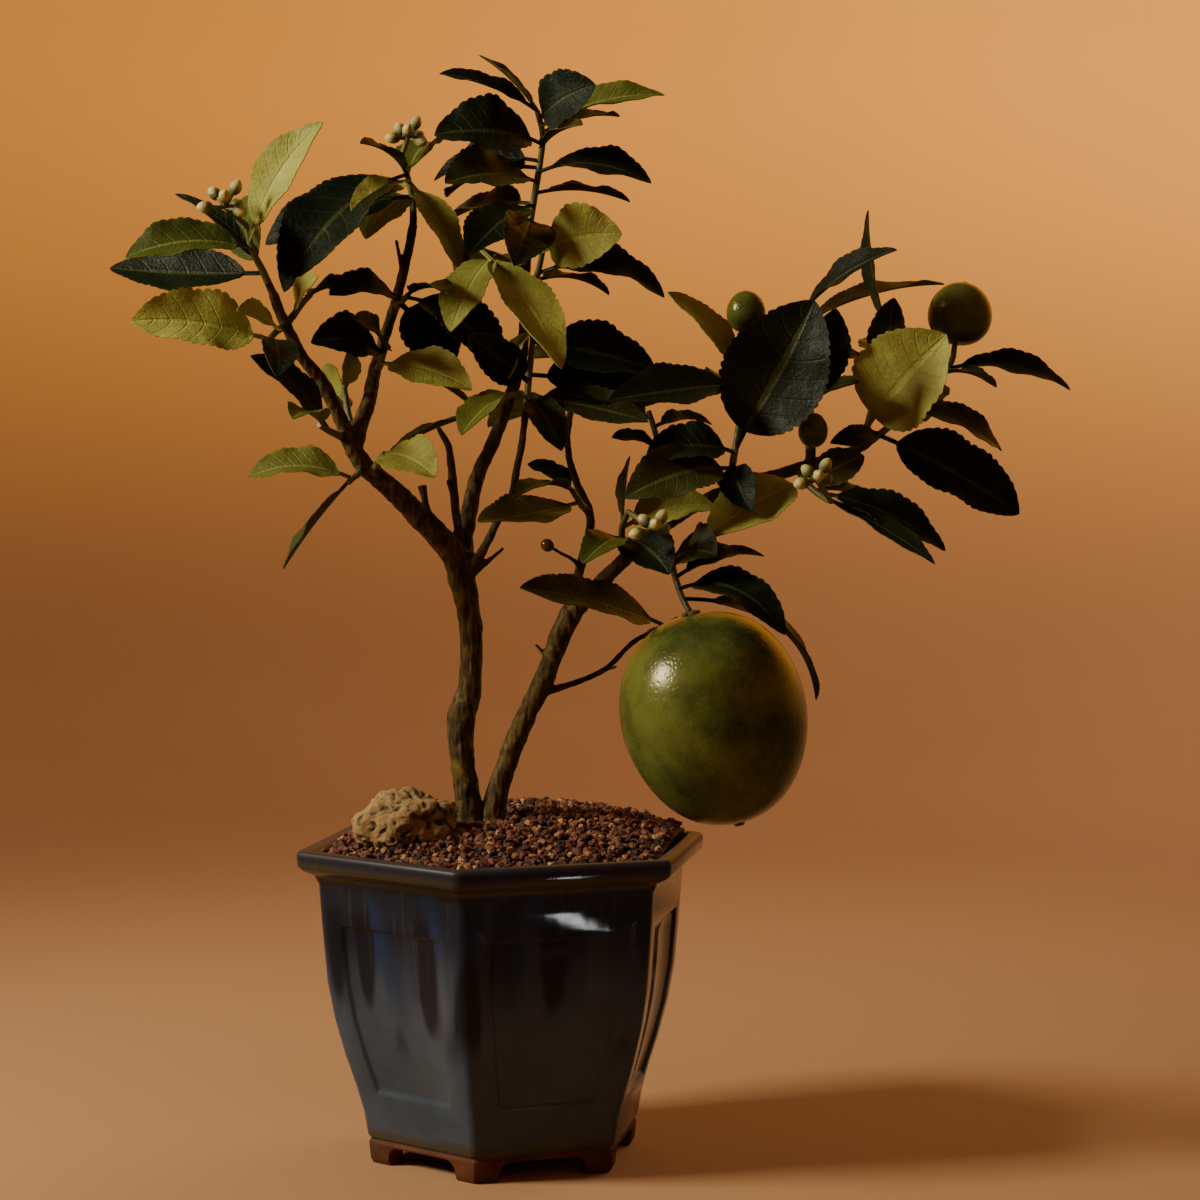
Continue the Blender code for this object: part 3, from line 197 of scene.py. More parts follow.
# Woody limbs: (x, z, y, radius)
WOOD = {
    "left stem": [
        (-12, 112, 0, 5.4), (-12.8, 126, 0, 5.2), (-14.2, 138, 0, 4.9), (-15.7, 150, 0, 4.7),
        (-16.6, 160, 0, 5.0), (-15.9, 169, 0, 5.3), (-13.2, 178, 0, 4.7), (-12.4, 189, 0, 4.3),
        (-12.6, 201, 0, 4.4), (-14.3, 213, 0, 4.7), (-16.2, 222, 0, 5.5), (-15, 231, 0, 4.6),
    ],
    "old scar": [(-16, 157, -0.5, 3.6), (-18.3, 167, -0.5, 3.8), (-16.5, 176, -0.5, 2.4)],
    "right stem": [
        (-6, 112, 0, 5.2), (-4.5, 127, 0, 4.9), (-2.5, 139, -1, 4.3), (1, 150, -2, 4.0),
        (4.8, 160, -3, 4.0), (9.3, 170, -4, 3.9), (14.4, 180, -5, 4.0), (18.3, 190, -6, 3.8),
        (22, 200, -7, 4.2), (26, 208, -8, 4.2),
    ],
    "left limb": [
        (-16, 223, 0, 5.2), (-20, 231, -2, 5.1), (-27, 239, -5, 4.8), (-34, 246, -7, 4.5),
        (-41.4, 253.5, -9, 4.1), (-49, 260, -11, 3.7), (-55, 266, -13, 3.6), (-58, 273, -14, 3.3),
    ],
    "left fork": [
        (-57, 268, -14, 3.0), (-61, 279, -16, 2.9), (-65, 288, -18, 2.7), (-70, 297, -20, 2.5),
        (-76, 304, -22, 2.4), (-80, 312, -24, 2.2), (-84, 320, -25, 2.1), (-87, 328, -26, 2.0),
    ],
    "back fork": [
        (-57, 269, -14, 3.2), (-54, 280, -10, 3.1), (-51, 288, -5, 2.9), (-49, 298, 2, 2.6),
        (-46, 309, 10, 2.2), (-42, 321, 16, 2.1), (-39, 332, 20, 2.0), (-36, 344, 22, 1.9),
        (-34, 354, 23, 1.8),
    ],
    "back fork thorn": [(-38, 336, 20.5, 1.1), (-40.5, 349, 19, 0.7)],
    "centre limb": [
        (-14.5, 224, 1, 4.2), (-15, 236, 4, 3.6), (-13, 246, 7, 3.2), (-11, 256, 10, 3.0),
        (-8, 264, 12, 2.8), (-4, 272, 13, 2.7), (0, 283, 14, 2.6), (4, 294, 14, 2.4),
        (7, 305, 13, 2.3), (8, 318, 12, 2.2), (8, 332, 10, 2.1), (9, 344, 9, 2.0),
    ],
    "dead twig": [
        (-16, 232, 2, 2.0), (-18, 244, -2, 1.8), (-19, 254, -5, 1.7), (-20, 264, -7, 1.6),
        (-21, 271, -8, 1.5), (-25, 278, -9, 1.0),
    ],
    "dead twig stub": [(-19, 252, -4.5, 1.2), (-21.5, 258, -8, 0.8)],
    "knob stub": [(-27, 241, -5, 1.6), (-30, 250, -10, 1.3), (-31, 256, -11, 1.9)],
    "front limb": [
        (-13, 223, -1, 2.4), (-7, 233, -9, 1.8), (-2, 243, -13, 1.6), (3, 252, -15, 1.5),
        (5, 262, -16, 1.5), (7, 272, -16, 1.4), (8, 280, -15, 1.4),
    ],
    "short twig": [(-12, 222, -2, 1.4), (-5, 228, -6, 1.0), (0, 232, -9, 0.7)],
    "right limb": [
        (24, 204, -8, 3.7), (33, 215, -10, 3.1), (42, 224, -12, 2.8), (52, 233, -14, 2.7),
        (63, 242, -15, 2.6), (76, 250, -14, 2.5), (90, 256, -12, 2.4), (104, 260, -9, 2.3),
        (117, 264, -6, 2.2), (128, 267, -3, 2.0), (137, 271, 0, 1.9),
    ],
    "up limb": [
        (24, 204, -7, 2.9), (27, 217, -3, 2.1), (30, 228, 3, 1.9), (33, 240, 9, 1.8),
        (32, 248, 13, 1.7), (28, 256, 16, 1.6), (25, 266, 19, 1.5), (24, 275, 21, 1.4),
    ],
    "bare side twig": [
        (15, 177, -5, 1.7), (25, 180, -3, 1.3), (33, 183, -1, 1.2), (40, 187, 0, 1.1),
        (49, 196, 2, 1.05), (56, 200, 4, 1.05),
    ],
    "side twig nub": [(38, 185.5, 0, 0.9), (43, 187, -4, 0.6)],
    "stem thorn": [(17, 190, -6, 1.1), (12, 195.5, -8, 0.6)],
    "fruitlet stalk": [
        (29, 225, 2, 1.2), (26, 228, -3, 0.9), (22, 230, -6, 0.8), (18.6, 232, -8, 0.8),
    ],
    "low fruit stalk": [(117, 263.5, -6, 1.4), (117.5, 267, -10, 1.2), (117.5, 271, -12.5, 1.2)],
}

# Green shoots: the woody limb's point, then the shoot's own points, (x, z, y)
SHOOTS = {
    "shoot_left_tip": ((-87, 328, -26), (-91, 337, -28), (-95, 345, -30), (-97, 353, -31)),
    "shoot_left_front": ((-82, 317, -24), (-85, 315, -29), (-88, 312, -34), (-90, 309, -37)),
    "shoot_left_inner": ((-82, 317, -24), (-79, 321, -19), (-76, 325, -15), (-73, 328, -12)),
    "shoot_left_fork": ((-59, 273, -15), (-63, 275, -20), (-67, 277, -24), (-70, 279, -28)),
    "shoot_fork_upright": ((-57, 275, -12), (-59, 283, -9), (-60, 290, -8), (-61, 296, -7)),
    "shoot_limb_under": ((-53, 264, -12), (-55, 261, -16), (-57, 259, -19), (-59, 257, -22)),
    "shoot_limb_front": ((-49, 260, -11), (-48, 264, -16), (-47, 266, -20), (-45, 268, -23)),
    "shoot_back_low": ((-49, 298, 2), (-47, 301, -3), (-46, 304, -7), (-45, 307, -11)),
    "shoot_back_middle": ((-42, 321, 16), (-40, 324, 11), (-38, 326, 7), (-36, 328, 3)),
    "shoot_back_top": ((-34, 354, 23), (-34, 363, 24), (-36, 372, 23), (-38, 378, 22)),
    "shoot_crown": (
        (9, 344, 9), (10, 354, 8), (12, 366, 6), (14, 378, 4), (15, 388, 2), (13, 397, 0),
    ),
    "shoot_centre_left": ((8, 336, 10), (3, 340, 5), (-3, 343, 1), (-10, 345, -2)),
    "shoot_centre_right": ((8, 328, 11), (11, 332, 6), (13, 336, 2), (15, 345, -3)),
    "shoot_front_limb": (
        (8, 280, -15), (9, 290, -15), (10, 300, -14), (11, 310, -12), (11, 317, -10),
    ),
    "shoot_up_side": ((32, 246, 12), (30, 248, 7), (28, 251, 3), (26, 254, 0)),
    "shoot_up_tip": ((24, 275, 21), (25, 282, 23), (27, 288, 26), (29, 293, 30)),
    "shoot_right_near": ((46, 228, -13), (45, 234, -18), (45, 240, -23), (47, 245, -29)),
    "shoot_right_back": ((64, 243, -15), (62, 255, -7), (60, 267, -1), (57, 278, 3), (55, 284, 5)),
    "shoot_fruit": (
        (61, 240, -15), (63, 232, -20), (65, 222, -27), (68, 213, -32), (70.6, 208.2, -35),
    ),
    "shoot_side_twig": ((56, 200, 4), (59, 201, 0), (63, 203, -5), (66, 205, -9)),
    "shoot_right_middle": (
        (86, 254, -13), (87, 264, -15), (89, 276, -15), (91, 288, -13), (92, 300, -11),
        (92, 313.6, -10),
    ),
    "shoot_right_upper": (
        (116, 264, -6), (116, 272, -4), (114, 284, -1), (113, 298, 1), (112, 312, 3), (112, 322, 4),
    ),
    "shoot_right_end": (
        (136, 270, 0), (139, 282, 4), (142, 294, 8), (145, 306, 10), (146, 316, 10),
    ),
    "shoot_far_right": (
        (136, 270, 0), (146, 278, 5), (157, 289, 9), (166, 298, 11), (170, 303, 12), (171, 309, 12),
    ),
    "shoot_right_under": (
        (112, 262, -7), (114, 258, -12), (118, 254, -17), (122, 251, -22), (124, 250, -28),
    ),
}

# Leaves: root (x, z), tip (x, z, y), width, arch of the midrib, where the upper side looks,
# and tone, how lit the leaf looks painted into its colour: light (painted light), mid, olive or
# dark (painted shade)
LEAVES = {
    "shoot_left_tip": [
        (-96, 349, -68, 393, -46, 20, 4, (-5, -8, 3), "L"),
        (-95, 346, -143, 342, -44, 22, 5, (0, -6, 7), "M"),
        (-92, 336, -149, 338, -14, 22, -1, (0, -7, 6), "D"),
        (-95, 346, -124, 366, -14, 9, 2, (4, -5, 6), "D"),
        (-93, 341, -111, 353, -12, 10, 2, (5, -4, 6), "D"),
        (-92, 339, -100, 363, 16, 18, 4, (-4, 5, 6), "M"),
    ],
    "shoot_left_front": [
        (-88, 310, -141, 318, -52, 28, 3, (1, -8, 6), "L"),
        (-86, 314, -101, 322, -62, 13, 3, (3, -7, 5), "L"),
        (-89, 310, -86, 297, -72, 15, 4, (3, -4, 7), "D"),
    ],
    "shoot_left_inner": [
        (-75, 326, -56, 330, 8, 16, 3, (0, 5, 8), "D"),
        (-78, 322, -70, 335, -34, 11, 2, (-6, -6, 3), "L"),
    ],
    "shoot_left_fork": [
        (-67, 277, -96, 305, -38, 16, 3, (5, -6, 6), "O"),
        (-69, 279, -80, 281, -64, 14, 4, (1, -4, 8), "M"),
    ],
    "shoot_fork_upright": [
        (-60, 289, -68, 301, 4, 10, 2, (-6, -5, 3), "L"),
        (-61, 294, -59, 307, -14, 9, 2, (5, -7, 2), "L"),
        (-59, 284, -74, 289, 22, 15, 3, (0, 4, 8), "M"),
    ],
    "shoot_limb_under": [
        (-58, 258, -97, 259, -26, 20, 5, (0, -5, 8), "M"),
        (-58, 258, -84, 224, -26, 15, 1, (-7, -1, 6), "O"),
    ],
    "shoot_limb_front": [
        (-46, 267, -26, 259, -50, 20, 4, (1, -8, 5), "L"),
        (-47, 265, -13, 282, -22, 13, 2, (-5, -1, 9), "O"),
    ],
    "shoot_back_low": [
        (-46, 301, -12, 292, -28, 20, 3, (0, -7, 7), "L"),
        (-47, 301, -11, 285, -4, 15, 3, (0, -1, 9), "O"),
        (-45, 306, -73, 310, -26, 21, 4, (2, -7, 6), "D"),
        (-45, 307, -57, 319, -44, 15, 3, (3, -7, 5), "D"),
    ],
    "shoot_back_middle": [
        (-37, 327, 0, 296, -6, 23, 9, (2, -6, 7), "D"),
        (-36, 328, -20, 328, -36, 13, 3, (0, -2, 9), "D"),
        (-39, 325, -19, 302, 9, 22, 4, (-3, -7, 5), "D"),
        (-38, 326, -66, 328, -14, 19, 4, (0, -6, 7), "D"),
    ],
    "shoot_back_top": [
        (-36, 374, -54, 385, -4, 13, 3, (2, -4, 9), "O"),
        (-36, 371, -17, 338, 2, 15, 3, (5, -7, 4), "L"),
        (-34, 366, -14, 335, 8, 12, 3, (6, -4, 5), "M"),
        (-36, 372, -57, 358, -6, 15, 3, (0, -6, 7), "L"),
        (-35, 366, -90, 347, 22, 24, 6, (0, -7, 6), "D"),
        (-37, 375, -83, 329, -16, 33, 9, (-4, -8, 4), "D"),
        (-37, 375, -24, 385, 56, 20, 4, (0, 3, 8), "M"),
        (-35, 367, -52, 349, 66, 21, 5, (-1, 5, 7), "M"),
    ],
    "shoot_crown": [
        (13, 397, -24, 411, -8, 15, 3, (3, -4, 8), "D"),
        (13, 397, -9, 418, 8, 10, 2, (6, -2, 5), "O"),
        (13, 395, 35, 407, -20, 22, 3, (3, -8, 3), "D"),
        (14, 393, 61, 403, 6, 18, 4, (-1, -5, 8), "M"),
        (15, 390, 44, 395, 30, 14, 3, (0, -3, 9), "D"),
        (15, 386, 30, 392, -30, 12, 2, (-4, -2, 8), "O"),
        (15, 387, -26, 388, -14, 29, 5, (0, -7, 6), "D"),
        (14, 377, 56, 370, -14, 20, 6, (0, -5, 8), "D"),
        (13, 369, 48, 363, 22, 15, 3, (0, -1, 9), "D"),
        (13, 374, -22, 370, -26, 26, 4, (1, -6, 7), "O"),
        (14, 382, -26, 371, 20, 22, 5, (1, -6, 7), "D"),
        (12, 366, -23, 354, 40, 22, 4, (0, -5, 7), "O"),
        (12, 366, -13, 343, -26, 22, 3, (-3, -8, 3), "D"),
        (10.5, 357, 4, 339, -44, 21, 4, (3, -6, 5), "D"),
        (14, 380, -21, 365, 32, 26, 5, (0, -6, 7), "D"),
    ],
    "shoot_centre_left": [
        (-9, 345, 22, 300, -38, 22, 4, (5, -8, 3), "L"),
        (-4, 344, -20, 314, -24, 20, 4, (-4, -8, 3), "L"),
        (2, 341, -18, 336, 52, 20, 4, (0, 4, 8), "M"),
    ],
    "shoot_centre_right": [
        (15, 345, 45, 351, -16, 25, 4, (0, -9, 2), "L"),
        (13, 336, 61, 327, -4, 22, 9, (0, -5, 8), "D"),
        (12, 333, 40, 328, 30, 15, 4, (0, -2, 9), "D"),
    ],
    "shoot_front_limb": [
        (11, 316, 2, 296, -24, 11, 2, (-6, -6, 1), "L"),
        (11, 311, 58, 299, -10, 26, 1, (3, -7, 6), "D"),
        (10, 299, 60, 289, 2, 28, 2, (0, -7, 6), "D"),
        (9, 291, 55, 280, -24, 19, 1, (0, -6, 7), "O"),
        (9, 288, -16, 275, -48, 20, 5, (-3, -4, 8), "M"),
        (9.5, 297, -13, 313, -33, 16, 3, (-4, -8, 3), "D"),
        (9, 287, 22, 269, -36, 15, 3, (3, -8, 2), "O"),
    ],
    "shoot_up_side": [
        (27, 253, 9, 264, 2, 13, 2, (4, -5, 7), "D"),
        (26, 254, 4, 251, -36, 13, 4, (0, -1, 9), "O"),
        (29, 248, -10, 242, -48, 20, -1, (0, -6, 7), "M"),
    ],
    "shoot_up_tip": [
        (28, 291, 62, 290, 56, 22, 5, (0, 4, 8), "M"),
        (29, 293, 12, 304, 62, 22, 5, (0, 4, 8), "M"),
        (26, 285, -6, 278, 52, 20, 5, (-1, 4, 8), "M"),
    ],
    "shoot_right_near": [
        (45, 242, 48, 267, -18, 11, 1, (-9, -2, 2), "O"),
        (45, 240, 80, 248, -20, 20, 4, (0, -6, 7), "L"),
        (45, 236, 30, 226, -50, 15, 4, (0, -5, 7), "M"),
        (45, 237, 63, 222, -48, 20, 3, (1, -8, 4), "D"),
    ],
    "shoot_right_back": [
        (59, 270, 41, 274, -10, 11, 2, (0, -5, 8), "D"),
        (56, 282, 37, 281, 22, 14, 3, (0, -5, 8), "O"),
        (57, 279, 79, 279, 12, 13, 3, (0, -3, 9), "O"),
        (61, 262, 76, 268, 44, 20, 4, (0, 4, 8), "M"),
    ],
    "shoot_fruit": [
        (64, 227, 81, 229, -46, 22, 3, (2, -8, 4), "O"),
        (66, 220, 99, 229, -18, 15, 4, (0, -3, 9), "D"),
        (67, 215, 107, 199, -50, 20, 10, (0, -5, 8), "D"),
        (69, 211, 119, 174, 14, 16, 14, (5, -3, 8), "D"),
    ],
    "shoot_side_twig": [
        (61, 203, 6, 217, -52, 22, 3, (0, -7, 7), "O"),
    ],
    "shoot_right_middle": [
        (88, 268, 54, 266, -22, 22, 5, (0, -6, 7), "D"),
        (87, 262, 46, 251, -40, 24, 5, (-1, -8, 5), "O"),
        (92, 295, 40, 288, -38, 23, 1, (0, -6, 7), "D"),
        (92, 298, 62, 329, -28, 15, 3, (5, -6, 5), "L"),
        (88, 271, 118, 326, -26, 40, 4, (-1, -9, 1), "D"),
        (91, 292, 84, 290, 44, 24, 5, (0, 4, 8), "M"),
        (87, 262, 94, 246, -36, 14, 3, (-1, -9, 2), "D"),
    ],
    "shoot_right_upper": [
        (112, 321, 149, 345, -20, 18, 3, (-3, -4, 7), "D"),
        (114, 288, 126, 323, -12, 20, 3, (3, -8, 2), "D"),
        (114, 286, 135, 295, -22, 12, 2, (-3, -4, 8), "O"),
        (113, 301, 139, 304, 24, 14, 3, (0, -4, 8), "D"),
        (112, 318, 167, 332, 58, 16, 4, (-2, -3, 9), "O"),
        (112, 310, 96, 308, 52, 24, 5, (0, 4, 8), "M"),
    ],
    "shoot_right_end": [
        (146, 315, 138, 360, 12, 13, 2, (-9, -2, -1), "O"),
        (143, 300, 148, 327, -2, 15, 2, (-2, -8, 0), "O"),
        (139, 278, 168, 313, -20, 38, 4, (-3, -9, 2), "L"),
        (144, 303, 150, 306, 54, 24, 5, (0, 4, 8), "M"),
    ],
    "shoot_far_right": [
        (167, 300, 215, 292, 6, 18, 6, (0, -4, 8), "D"),
        (166, 299, 187, 293, -12, 11, 3, (3, -4, 8), "O"),
        (138, 271, 196, 245, 0, 30, 3, (3, -8, 5), "D"),
        (154, 286, 189, 269, 26, 19, 4, (3, -5, 7), "D"),
        (158, 291, 160, 280, 56, 22, 5, (0, 4, 8), "M"),
        (142, 276, 124, 272, -24, 10, 2, (1, -8, 4), "D"),
    ],
    "shoot_right_under": [
        (120, 252.5, 168, 231, -24, 20, 5, (3, -6, 7), "D"),
        (119, 253, 140, 252, -2, 10, 2, (2, -3, 8), "O"),
        (115, 257, 77, 236, -32, 24, 4, (-1, -7, 6), "L"),
        (122, 251, 164, 226, -50, 13, 1, (3, -5, 7), "D"),
        (113, 260, 137, 267, -14, 14, 3, (2, -8, 3), "O"),
    ],
}

# Flower buds: the shoot that ends in each cluster, the cluster's middle, radius, number of buds
BUDS = {
    "buds_left": ("shoot_left_tip", (-105, 361, -45), 7.2, 6),
    "buds_back": ("shoot_back_top", (-36, 387, 26), 6.4, 6),
    "buds_centre": ("shoot_right_near", (57, 239, -45), 6.4, 5),
    "buds_right": ("shoot_right_under", (119, 258, -33), 5.8, 5),
}

# Small fruits: the shoot or twig that ends in each, its length and its radius
SMALL_FRUITS = {
    "small_fruit_right": ("shoot_far_right", 24.5, 12.3),
    "small_fruit_centre": ("shoot_right_middle", 16.0, 7.4),
    "small_fruit_low": ("low fruit stalk", 14.0, 5.6),
    "fruitlet": ("fruitlet stalk", 5.3, 2.5),
}

# Shoots and leaves, as their solids have them, and the leaves' finer waves and teeth
GAP = 0.3
SHOOT_RADII = (1.45, 1.1)
STUB_LENGTH = 6.0
ROOT_BACK = 0.5
ROOT_BACK_EACH = 0.33
ROOT_CLEAR = 1.0
LEAF_FOLD = 0.34
LEAF_WAVE = 0.05
LEAF_WAVES = 9
STALK_SHARE = 0.13
STALK_HALF_WIDTH = 0.8
STALK_ROWS = 4
# Leaf tones: from dark, painted shade, to light, painted light
PAINTED_LIGHT_TONES = {"D": 0.0, "O": 0.33, "M": 0.66, "L": 1.0}
RIPPLE_EACH = 1.7
LEAF_SEED = 31
LEAF_RISE = 0.62
LEAF_FALL = 0.80
TOOTH_SPACING = 3.6
TOOTH_SHARPNESS = 1.6
FRILL = 0.022
FRILLS = 21
LARGE_LEAF = 12.5

# Buds, as their solids have them
BUD_SEED = 23
BUD_STEM = 1.5
BUD_RADIUS = 2.3
BUD_LENGTHEN = 1.35
BUD_TURN = 2.4


def paint(red, green, blue):
    """A colour given as 0 to 255 on screen, as linear light."""
    parts = [p / 255 for p in (red, green, blue)]
    return tuple(p / 12.92 if p <= 0.04045 else ((p + 0.055) / 1.055) ** 2.4 for p in parts)


# Settings

def length(name, description, default):
    return FloatProperty(name=name, description=description, default=default, min=0.0,
                         unit="LENGTH", precision=5)


def share(name, description, default):
    return FloatProperty(name=name, description=description, default=default, min=0.0, max=1.0,
                         subtype="FACTOR")


def tint(name, description, default):
    return FloatVectorProperty(name=name, description=description, default=paint(*default),
                               min=0.0, max=1.0, size=3, subtype="COLOR")


def watts(name, description, default):
    return FloatProperty(name=name, description=description, default=default, min=0.0,
                         unit="POWER")


class PotSettings(bpy.types.PropertyGroup):
    edge: length("Edge rounding", "Rounding of the pot's small edges", 0.0006)
    glaze: tint("Glaze", "Near-black blue of the upper walls", (14, 24, 38))
    drip: tint("Drips", "Blue that pools in the glaze", (18, 39, 70))
    breaking: tint("Breaking glaze", "Olive brown where the glaze thins on edges", (62, 54, 32))
    lower: tint("Lower wall", "Blue-grey of the lower wall", (60, 70, 79))
    clay: tint("Clay", "Bare clay of the feet", (84, 47, 23))


class GravelSettings(bpy.types.PropertyGroup):
    grain: length("Grain size", "Usual width of a grain", 0.0031)
    grains: IntProperty(name="Grains", description="Number of grains", default=2300, min=100,
                        max=4000)
    dark: tint("Dark grains", "Dark red brown grains", (30, 12, 6))
    warm: tint("Warm grains", "Brick coloured grains", (94, 40, 16))
    pale: tint("Pale grains", "Tan and cream grains", (150, 98, 50))


class StoneSettings(bpy.types.PropertyGroup):
    pits: length("Pit depth", "Depth of the stone's pits", 0.0011)
    pale: tint("Pale stone", "Cream of the stone's high parts", (164, 128, 72))
    # The pits' dark colour is painted shade in the stone's hollows
    dark: tint("Pits", "Dark olive of the stone's pits", (40, 30, 16))


class WoodSettings(bpy.types.PropertyGroup):
    detail: length("Detail", "Edge length of the finest bark shapes", 0.0006)
    relief: length("Relief", "Height of the bark's ridges", 0.00035)
    # A lit and a shaded bark colour: the furrows' dark brown is painted shade
    lit: tint("Bark", "Olive brown bark", (84, 64, 18))
    dark: tint("Furrows", "Dark brown of the furrows", (34, 25, 8))
    green: tint("Young wood", "Green brown of the thin twigs", (48, 42, 18))


class LeafSettings(bpy.types.PropertyGroup):
    thickness: length("Midrib thickness", "Thickness of a leaf at its midrib", 0.0008)
    teeth: share("Teeth", "Depth of the margin's teeth as a share of half the width", 0.075)
    # Leaf tones: the dark leaf is painted shade, the light leaf is painted light, olive and middle
    # lie between
    dark: tint("Dark leaf", "Leaf in its darkest tone", (9, 20, 6))
    olive: tint("Olive leaf", "Leaf with a brownish tone", (40, 42, 13))
    middle: tint("Middle leaf", "Leaf of a middle green", (62, 74, 22))
    light: tint("Light leaf", "Light yellow-green leaf", (150, 154, 70))
    stem: tint("Green stem", "Young green stems and stalks", (80, 84, 36))


class BudSettings(bpy.types.PropertyGroup):
    petal: tint("Petals", "Cream tips of the buds", (176, 168, 96))
    base: tint("Base", "Green base and stalks of the buds", (84, 88, 34))


class FruitSettings(bpy.types.PropertyGroup):
    pores: FloatProperty(name="Pores", description="Pores over a metre of the large fruit's peel",
                         default=620.0, min=50.0)
    dark: tint("Peel", "Dark green peel", (38, 48, 20))
    light: tint("Light peel", "Lighter green patches", (84, 90, 36))


class StageSettings(bpy.types.PropertyGroup):
    floor: tint("Floor", "Pale warm floor", (156, 118, 78))
    # Backdrop top: a painted glow of light. Backdrop: warm paper darkened by painted shade
    upper: tint("Backdrop top", "Glowing upper part of the backdrop", (210, 148, 60))
    backdrop: tint("Backdrop", "Warm backdrop behind the plant", (112, 74, 42))
    key: watts("Key light", "Power of the main light", 30.0)
    fill: watts("Fill light", "Power of the soft light", 0.9)
    back: watts("Back light", "Power of the soft light from behind", 10.0)
    glow: watts("Backdrop light", "Power of the light on the backdrop", 26.0)


# Modelling

def only(*items):
    """Select these objects alone; the first becomes the active one."""
    if bpy.context.mode != "OBJECT":
        bpy.ops.object.mode_set(mode="OBJECT")
    bpy.ops.object.select_all(action="DESELECT")
    for item in items:
        item.select_set(True)
    bpy.context.view_layer.objects.active = items[0]


def nothing():
    """Leave edit mode and deselect every object, so that a new primitive starts alone."""
    if bpy.context.mode != "OBJECT":
        bpy.ops.object.mode_set(mode="OBJECT")
    bpy.ops.object.select_all(action="DESELECT")


def named(name):
    """The object that an operator has just added, with its name."""
    item = bpy.context.active_object
    item.name = name
    item.data.name = name
    return item


def settle():
    """Work the selected objects' place, turn and size into their meshes."""
    bpy.ops.object.transform_apply(location=True, rotation=True, scale=True)


def edit(item, kind="VERT"):
    """Go into edit mode; the mode is set first, because it decides what a selection takes in."""
    only(item)
    modes = tuple(kind == each for each in ("VERT", "EDGE", "FACE"))
    bpy.context.scene.tool_settings.mesh_select_mode = modes
    bpy.ops.object.mode_set(mode="EDIT")


def whole(item):
    """Go into edit mode with all of a mesh selected."""
    edit(item)
    bpy.ops.mesh.select_all(action="SELECT")


def choose(item, kind, test):
    """Select a mesh's vertices, edges or faces that pass a test, and go into edit mode."""
    only(item)
    mesh = item.data
    groups = {"VERT": mesh.vertices, "EDGE": mesh.edges, "FACE": mesh.polygons}
    for group in groups.values():
        group.foreach_set("select", [False] * len(group))
    for part in groups[kind]:
        part.select = test(part)
    edit(item, kind)


def shape(item, kind, **settings):
    """Put a modifier on a piece and apply it."""
    only(item)
    step = item.modifiers.new(kind.lower(), kind)
    for key, value in settings.items():
        setattr(step, key, value)
    bpy.ops.object.modifier_apply(modifier=step.name)
    return item


def join(name, items):
    """Join pieces into the first one."""
    only(*items)
    if len(items) > 1:
        bpy.ops.object.join()
    return named(name)


def twin(item, name):
    """A copy of a piece with its own mesh."""
    made = item.copy()
    made.data = item.data.copy()
    made.name = name
    bpy.context.scene.collection.objects.link(made)
    return made


def clean(item, distance=0.00001):
    """Merge doubles and point every face outwards."""
    whole(item)
    bpy.ops.mesh.remove_doubles(threshold=distance)
    bpy.ops.mesh.normals_make_consistent(inside=False)
    nothing()
    return item


def ends(item, line):
    """Where both ends of an edge of a mesh are."""
    return [item.data.vertices[v].co for v in line.vertices]


def discard(item):
    mesh = item.data
    bpy.data.objects.remove(item, do_unlink=True)
    if mesh.users == 0:
        bpy.data.meshes.remove(mesh)


def points_of(item):
    places = np.empty(len(item.data.vertices) * 3)
    item.data.vertices.foreach_get("co", places)
    return places.reshape(-1, 3)


def set_points(item, places):
    item.data.vertices.foreach_set("co", np.asarray(places, dtype=float).ravel())
    item.data.update()


def set_value(item, name, values):
    """Give each vertex of a piece a number under a name."""
    layer = item.data.attributes.get(name) or item.data.attributes.new(name, "FLOAT", "POINT")
    count = len(item.data.vertices)
    layer.data.foreach_set("value", np.broadcast_to(np.asarray(values, dtype=float), count).copy())


def paint_with(item, *materials):
    item.data.materials.clear()
    for made in materials:
        item.data.materials.append(made)
    return item


def stand(item, place, way):
    """Turn a piece's mesh so that its Z axis points along a way, and move it to a place."""
    turn = Vector((0, 0, 1)).rotation_difference(way).to_matrix().to_4x4()
    item.data.transform(Matrix.Translation(place) @ turn)


def smooth(item, degrees=None):
    """Shade a piece smooth, over edges up to an angle where one is given."""
    only(item)
    if degrees:
        bpy.ops.object.shade_smooth_by_angle(angle=math.radians(degrees))
    else:
        bpy.ops.object.shade_smooth()
    return item


def hand_over(item, node):
    """Let a finished piece ride on the body and stand for its solid."""
    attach(item, "root")
    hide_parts(node)


def seen(x, z, y):
    """A point that looks to be at x, z from the front, set at depth y."""
    part = (y - EYE[1]) / -EYE[1]
    across = EYE[0] + (x - EYE[0]) * part
    up = EYE[2] + (z - EYE[2]) * part
    return AXIS + Vector((across, y, up)) * MM


def smooth_path(points, spacing):
    """Points along a Catmull-Rom curve through a list of number tuples."""
    rows = [Vector(p) for p in points]
    ends = [rows[0] * 2 - rows[1]] + rows + [rows[-1] * 2 - rows[-2]]
    out = []
    for a, b, c, d in zip(ends, ends[1:], ends[2:], ends[3:]):
        steps = max(1, round((c - b).length / spacing))
        for i in range(steps):
            t = i / steps
            out.append(0.5 * ((2 * b) + (c - a) * t + (2 * a - 5 * b + 4 * c - d) * t ** 2
                              + (3 * b - a - 3 * c + d) * t ** 3))
    out.append(rows[-1])
    return out


